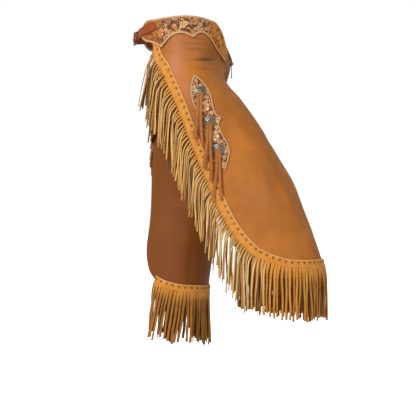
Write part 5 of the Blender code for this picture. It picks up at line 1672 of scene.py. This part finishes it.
class CHAPS_OT_straps(bpy.types.Operator):
    """Leg straps, the two back straps, their keeper and the front lace"""

    bl_idname = "chaps.straps"
    bl_label = "Straps and lace"

    def execute(self, context):
        for side, leg in LEGS.items():
            for number, row in enumerate(LEG_STRAPS[side]):
                bm, layers = marked_bmesh("edge")
                ribbon(bm, leg_strap_stations(leg, row), layers, strap_edge, across=8)
                face_outward(bm, leg.centre)
                self.finish(bm, f"thigh_strap_{side}_{number + 1}", f"leg_strap_{side}_{number + 1}")
        heel = degrees_at_y(BUCKLE_HEEL_Y - BUCKLE_WIRE - SEAM_GAP, LEGS)
        self.back_strap("right", BUCKLE_STRAP_OUT, STRAP_START_DEG, heel, 0.0)
        self.back_strap("left", BILLET_OUT, -STRAP_START_DEG, BILLET_TIP_DEG, STRAP_END_ROUND)
        self.keeper()
        self.lace()
        return {"FINISHED"}

    def finish(self, bm, name, node, thickness=STRAP_THICK, slot="strap_leather", material="strap leather"):
        bm.normal_update()
        piece = make_piece(bm, name, (material,), slot, node)
        add_wall(piece, thickness, 0.0)
        soften = piece.modifiers.new("rounded edges", "BEVEL")
        soften.width = thickness * 0.28
        soften.segments = 2
        soften.limit_method = "ANGLE"
        soften.angle_limit = math.radians(50.0)
        return piece

    def back_strap(self, side, rows, first, last, tip):
        """A plain strap along the back of the yoke, rounded at its sewn end, and pointed where it is a billet."""
        bm, layers = marked_bmesh("edge")
        span = abs(last - first) * METRES_PER_DEGREE
        for vert, u, v in add_grid(bm, *BACK_STRAP_GRID):
            degrees = first + (last - first) * v
            out = curve_through(rows, degrees)[0]
            half = BACK_STRAP_WIDTH / 2
            for from_end, rounding in ((v * span, STRAP_END_ROUND), ((1.0 - v) * span, tip)):
                if from_end < rounding:
                    half *= 0.45 + 0.55 * math.sqrt(max(0.0, 1.0 - (1.0 - from_end / rounding) ** 2))
            vert.co = back_point(degrees, (2.0 * u - 1.0) * half, out, LEGS)
            paint(vert, layers, strap_edge(u, v))
        face_outward(bm, waist_centre)
        piece = self.finish(bm, f"waist_strap_{side}", f"back_strap_{side}")
        if side == "left":
            self.punch(piece)

    def punch(self, piece):
        """The holes of the billet: one that the prong is in, and spare ones beyond it."""
        bm = bmesh.new()
        for y in (PRONG_HOLE_Y, PRONG_HOLE_Y + 0.026, PRONG_HOLE_Y - 0.026):
            middle = back_local(y, 0.0, BILLET_MID, LEGS)
            size = PRONG_HOLE[1] / 2 if y == PRONG_HOLE_Y else 0.0019
            add_rod(bm, 16, size, PRONG_HOLE[0], Matrix.Identity(3), middle)
        punch = add_object("punch", mesh_from(bm, "punch"))
        cut = piece.modifiers.new("holes", "BOOLEAN")
        cut.operation = "DIFFERENCE"
        cut.solver = "EXACT"
        cut.object = punch
        bpy.context.view_layer.update()
        graph = bpy.context.evaluated_depsgraph_get()
        holed = bpy.data.meshes.new_from_object(piece.evaluated_get(graph))
        piece.modifiers.clear()
        piece.data = holed
        bpy.data.objects.remove(punch)

    def keeper(self):
        """The loop of leather round both straps."""
        half = BACK_STRAP_WIDTH / 2 + KEEPER_GAP + KEEPER_THICK / 2
        spacing = STRAP_THICK / 2 + KEEPER_GAP + KEEPER_THICK / 2
        bm, layers = marked_bmesh("edge")
        for vert, u, v in add_grid(bm, *KEEPER_GRID):
            degrees = degrees_at_y(KEEPER_Y + KEEPER_LENGTH * (v - 0.5), LEGS)
            low = curve_through(BUCKLE_STRAP_OUT, degrees)[0] - spacing
            high = curve_through(BILLET_OUT, degrees)[0] + spacing
            turn = 2.0 * math.pi * u
            across = half * max(-1.0, min(1.0, 1.25 * math.cos(turn)))
            share = 0.5 + 0.5 * max(-1.0, min(1.0, 1.6 * math.sin(turn)))
            vert.co = back_point(degrees, across, low + (high - low) * share, LEGS)
            paint(vert, layers, (0.5 * abs(2.0 * v - 1.0) ** 4,))
        bmesh.ops.remove_doubles(bm, verts=bm.verts, dist=0.00005)
        bmesh.ops.recalc_face_normals(bm, faces=bm.faces)
        self.finish(bm, "keeper_loop", "strap_keeper", KEEPER_THICK)

    def lace(self):
        """The thong across the front, tied in the middle, with two short ends."""
        right = [RIGHT_LEG.at(-angle, LACE_Z, LACE_OUT) for angle in LACE_ANGLES]
        left = [LEFT_LEG.at(-angle, LACE_Z, LACE_OUT) for angle in LACE_ANGLES]
        middle = (right[1] + left[1]) / 2
        ends = [right[0], right[1], middle, left[1], left[0]]
        line = along_points([tuple(place) for place in ends])
        stations = []
        for share in shares(LACE_STEPS):
            place = Vector(curve_through(line, line[-1][0] * share))
            near_knot = 1.0 - smoothstep(0.002, 0.009, abs(place.y - middle.y))
            half = LACE_WIDTH / 2 * (1.0 + 0.25 * near_knot)
            stations.append((place + Vector((0.0016 * near_knot, 0.0, 0.0)), Vector((0.0, 0.0, half))))
        bm, layers = marked_bmesh("edge")
        ribbon(bm, stations, layers, strap_edge, across=4)
        for side in (-1.0, 1.0):
            stations = []
            for share in shares(LACE_END_STEPS):
                drop = curve_through(((0.0, 0.0),) + LACE_ENDS, LACE_ENDS[-1][0] * share)[0]
                place = middle + Vector((0.0028, side * (0.0036 + drop), -LACE_ENDS[-1][0] * share))
                stations.append((place, Vector((0.0, LACE_WIDTH / 2 * (1.0 - 0.15 * share), 0.0))))
            ribbon(bm, stations, layers, strap_edge, across=4)
        self.finish(bm, "front_thong", "front_lace", LACE_THICK, "thong_leather", "thong leather")


def strap_edge(u, v):
    """How burnished a strap is: more along its cut sides."""
    return (0.8 * smoothstep(0.70, 1.0, abs(2.0 * u - 1.0)),)


def leg_strap_stations(leg, row):
    """Middle and half-width of a leg strap from its outer sewn end to its inner one."""
    outer_angle, outer_z, inner_angle, inner_z, back_x, gap = row
    laid = -(PANEL_FACE + gap + STRAP_THICK / 2)
    outer_edge = leg.edge_angle(leg.outer_rows, outer_z) + 1.0
    inner_edge = leg.edge_angle(leg.inner_rows, inner_z) - 1.0
    edges = []
    for half in (LEG_STRAP_WIDTH / 2, -LEG_STRAP_WIDTH / 2):
        outside, inside = [], []
        for share in shares(LAP_STATIONS):
            angle = outer_angle + (outer_edge - outer_angle) * share
            outside.append(leg.at(angle, outer_z + half, laid - STRAP_LEAVES * share))
            angle = inner_edge + (inner_angle - inner_edge) * share
            inside.append(leg.at(angle, inner_z + half, laid - STRAP_LEAVES * (1 - share)))
        start, end = outside[-1], inside[0]
        nearer, further = start.lerp(end, 0.26), start.lerp(end, 0.74)
        nearer.x = back_x * 0.8 + start.x * 0.2
        further.x = back_x
        free = along_points([tuple(point) for point in (outside[-2], start, nearer, further, end, inside[1])])
        first, last = free[1][0], free[-2][0]
        steps = shares(FREE_STATIONS)[1:-1]
        between = [Vector(curve_through(free, first + (last - first) * share)) for share in steps]
        edges.append(outside + between + inside)
    return [((upper + lower) / 2, (upper - lower) / 2) for upper, lower in zip(*edges)]


class CHAPS_OT_buckle(bpy.types.Operator):
    """Metal for the buckle's frame and prong"""

    bl_idname = "chaps.buckle"
    bl_label = "Buckle"

    def execute(self, context):
        for node in ("buckle_frame", "buckle_prong"):
            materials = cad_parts[node].data.materials
            materials.clear()
            materials.append(bpy.data.materials["buckle steel"])
        return {"FINISHED"}


class CHAPS_OT_spots(bpy.types.Operator):
    """Domed metal spots along the fringe strips"""

    bl_idname = "chaps.spots"
    bl_label = "Spots"

    def execute(self, context):
        settings = context.scene.chaps
        radius = settings.spot_radius
        for leg in LEGS.values():
            rows = leg.fringe_path()
            bm = bmesh.new()
            count = round(rows[-1][0] / settings.spot_pitch)
            for k in range(count):
                length = (k + 0.5) * rows[-1][0] / count
                angle, z, _, away, _ = leg.on_path(rows, length)
                if z > SPOTS_START_Z:
                    continue
                spot_angle, spot_z = leg.shifted(angle, z, away * -SPOT_INSET)
                normal = leg.frame(spot_angle, spot_z)[3]
                made = bmesh.ops.create_uvsphere(bm, u_segments=14, v_segments=8, radius=radius)["verts"]
                bmesh.ops.scale(bm, verts=made, vec=(1.0, 1.0, 0.55))
                turn = normal.to_track_quat("Z", "Y").to_matrix()
                set_down(bm, made, turn, leg.at(spot_angle, spot_z, STRIP_FACE + 0.0002))
            make_piece(bm, f"spots_{leg.name}", ("spot metal",), "buckle_steel")
        return {"FINISHED"}


class CHAPS_OT_stitching(bpy.types.Operator):
    """Rows of stitches along the borders, the strips and the straps"""

    bl_idname = "chaps.stitching"
    bl_label = "Stitching"

    def execute(self, context):
        pitch = context.scene.chaps.stitch_pitch
        for leg in LEGS.values():
            patch = PATCHES[leg.name]
            bm = bmesh.new()
            for line in (yoke_stitch_line(leg, upper=False), yoke_stitch_line(leg, upper=True)):
                sew(bm, line, pitch)
            for side in (-1.0, 1.0):
                sew(bm, patch_stitch_line(patch, side), pitch)
            sew(bm, strip_stitch_line(leg), pitch)
            make_piece(bm, f"stitches_{leg.name}", ("waxed thread",), "tooled_leather")
        bm = bmesh.new()
        for first, last, rows in (
            (STRAP_START_DEG - 2.0, 14.0, BUCKLE_STRAP_OUT),
            (-STRAP_START_DEG + 2.0, -10.0, BILLET_OUT),
        ):
            for across in (BACK_STRAP_WIDTH / 2 - 0.0028, 0.0028 - BACK_STRAP_WIDTH / 2):
                line = []
                for share in shares(80):
                    degrees = first + (last - first) * share
                    out = curve_through(rows, degrees)[0] + STRAP_THICK / 2
                    place = back_point(degrees, across, out, LEGS)
                    line.append((place, (place - Vector((0.0, 0.0, place.z))).normalized()))
                sew(bm, line, pitch)
        make_piece(bm, "strap_stitches", ("dark thread",), "strap_leather")
        return {"FINISHED"}


def sew(bm, line, pitch):
    """Stitches along a line of (place, outward normal), each half sunk in the leather."""
    lengths = [0.0]
    for (before, _), (after, _) in zip(line, line[1:]):
        lengths.append(lengths[-1] + (after - before).length)
    rows = [(length, *place, *normal) for length, (place, normal) in zip(lengths, line)]
    rows = [row for k, row in enumerate(rows) if k == 0 or row[0] > rows[k - 1][0] + 1e-6]
    count = int(rows[-1][0] / pitch)
    k = 0
    for number in range(count):
        at = (number + 0.5) * pitch
        while k < len(rows) - 2 and rows[k + 1][0] < at:
            k += 1
        share = (at - rows[k][0]) / (rows[k + 1][0] - rows[k][0])
        start, end = Vector(rows[k][1:4]), Vector(rows[k + 1][1:4])
        normal = Vector(rows[k][4:7]).lerp(Vector(rows[k + 1][4:7]), share).normalized()
        forward = (end - start).normalized()
        turn = Matrix((forward, normal.cross(forward), normal)).transposed()
        add_rod(bm, 6, STITCH_RADIUS, pitch * 0.72, turn, start.lerp(end, share))


def yoke_stitch_line(leg, upper):
    """Along the yoke's border, midway between the cut edge and the groove."""
    lines = yoke_lines(leg)
    inset = YOKE_TOP_BORDER * 0.55 if upper else YOKE_BORDER * 0.62
    line = []
    for k in range(5, 396):
        share = k / 400
        _, height, slope = curve_through(lines, share)
        part = inset / height if upper else 1.0 - inset / (height * math.cos(math.atan(slope)))
        if not 0.02 < part < 0.98:
            continue
        angle, z = yoke_place(share, part)
        normal = leg.frame(angle, z)[3]
        line.append((leg.base(angle, z) + normal * (yoke_out(angle) + YOKE_THICK / 2), normal))
    return line


def patch_stitch_line(patch, side):
    """Down one side of the patch, inside its cut edge."""
    line = []
    length = PATCH_HALF_WIDTHS[-1][0]
    for k in range(10, 191):
        along = length * k / 200
        half = curve_through(PATCH_HALF_WIDTHS, along)[0]
        if half < PATCH_BORDER:
            continue
        x, z = patch.seen_place(along, side * (half - PATCH_BORDER * 0.55))
        angle = patch.leg.angle_seen(x, z)
        normal = patch.leg.frame(angle, z)[3]
        line.append((patch.leg.base(angle, z) + normal * PATCH_FACE, normal))
    return line


def strip_stitch_line(leg):
    """Just inside the strip's line on the panel."""
    rows = leg.fringe_path()
    line = []
    for share in shares(400):
        length = END_CLEAR + (rows[-1][0] - 2 * END_CLEAR) * share
        angle, z, _, away, _ = leg.on_path(rows, length)
        if z > SPOTS_START_Z:
            continue
        angle, z = leg.shifted(angle, z, away * -(STRIP_ON_PANEL - 0.0022))
        normal = leg.frame(angle, z)[3]
        line.append((leg.base(angle, z) + normal * STRIP_FACE, normal))
    return line


OPERATORS = (
    CHAPS_OT_stage,
    CHAPS_OT_materials,
    CHAPS_OT_panels,
    CHAPS_OT_fringes,
    CHAPS_OT_yokes,
    CHAPS_OT_side_patches,
    CHAPS_OT_conchos,
    CHAPS_OT_ties,
    CHAPS_OT_straps,
    CHAPS_OT_buckle,
    CHAPS_OT_spots,
    CHAPS_OT_stitching,
)


class CHAPS_PT_sidebar(bpy.types.Panel):
    """Lists the pieces of the chaps in the order in which they are made"""

    bl_idname = "CHAPS_PT_sidebar"
    bl_label = "Chaps"
    bl_space_type = "VIEW_3D"
    bl_region_type = "UI"
    bl_category = "Chaps"

    def draw(self, context):
        settings = context.scene.chaps
        for name in ChapsSettings.__annotations__:
            self.layout.prop(settings, name)
        for operator in OPERATORS:
            self.layout.operator(operator.bl_idname)


def register():
    for cls in (ChapsSettings, *OPERATORS, CHAPS_PT_sidebar):
        bpy.utils.register_class(cls)
    bpy.types.Scene.chaps = bpy.props.PointerProperty(type=ChapsSettings)


def unregister():
    del bpy.types.Scene.chaps
    for cls in reversed((ChapsSettings, *OPERATORS, CHAPS_PT_sidebar)):
        bpy.utils.unregister_class(cls)


def main():
    register()
    for operator in OPERATORS:
        group, name = operator.bl_idname.split(".")
        getattr(getattr(bpy.ops, group), name)()


if __name__ == "__main__":
    main()
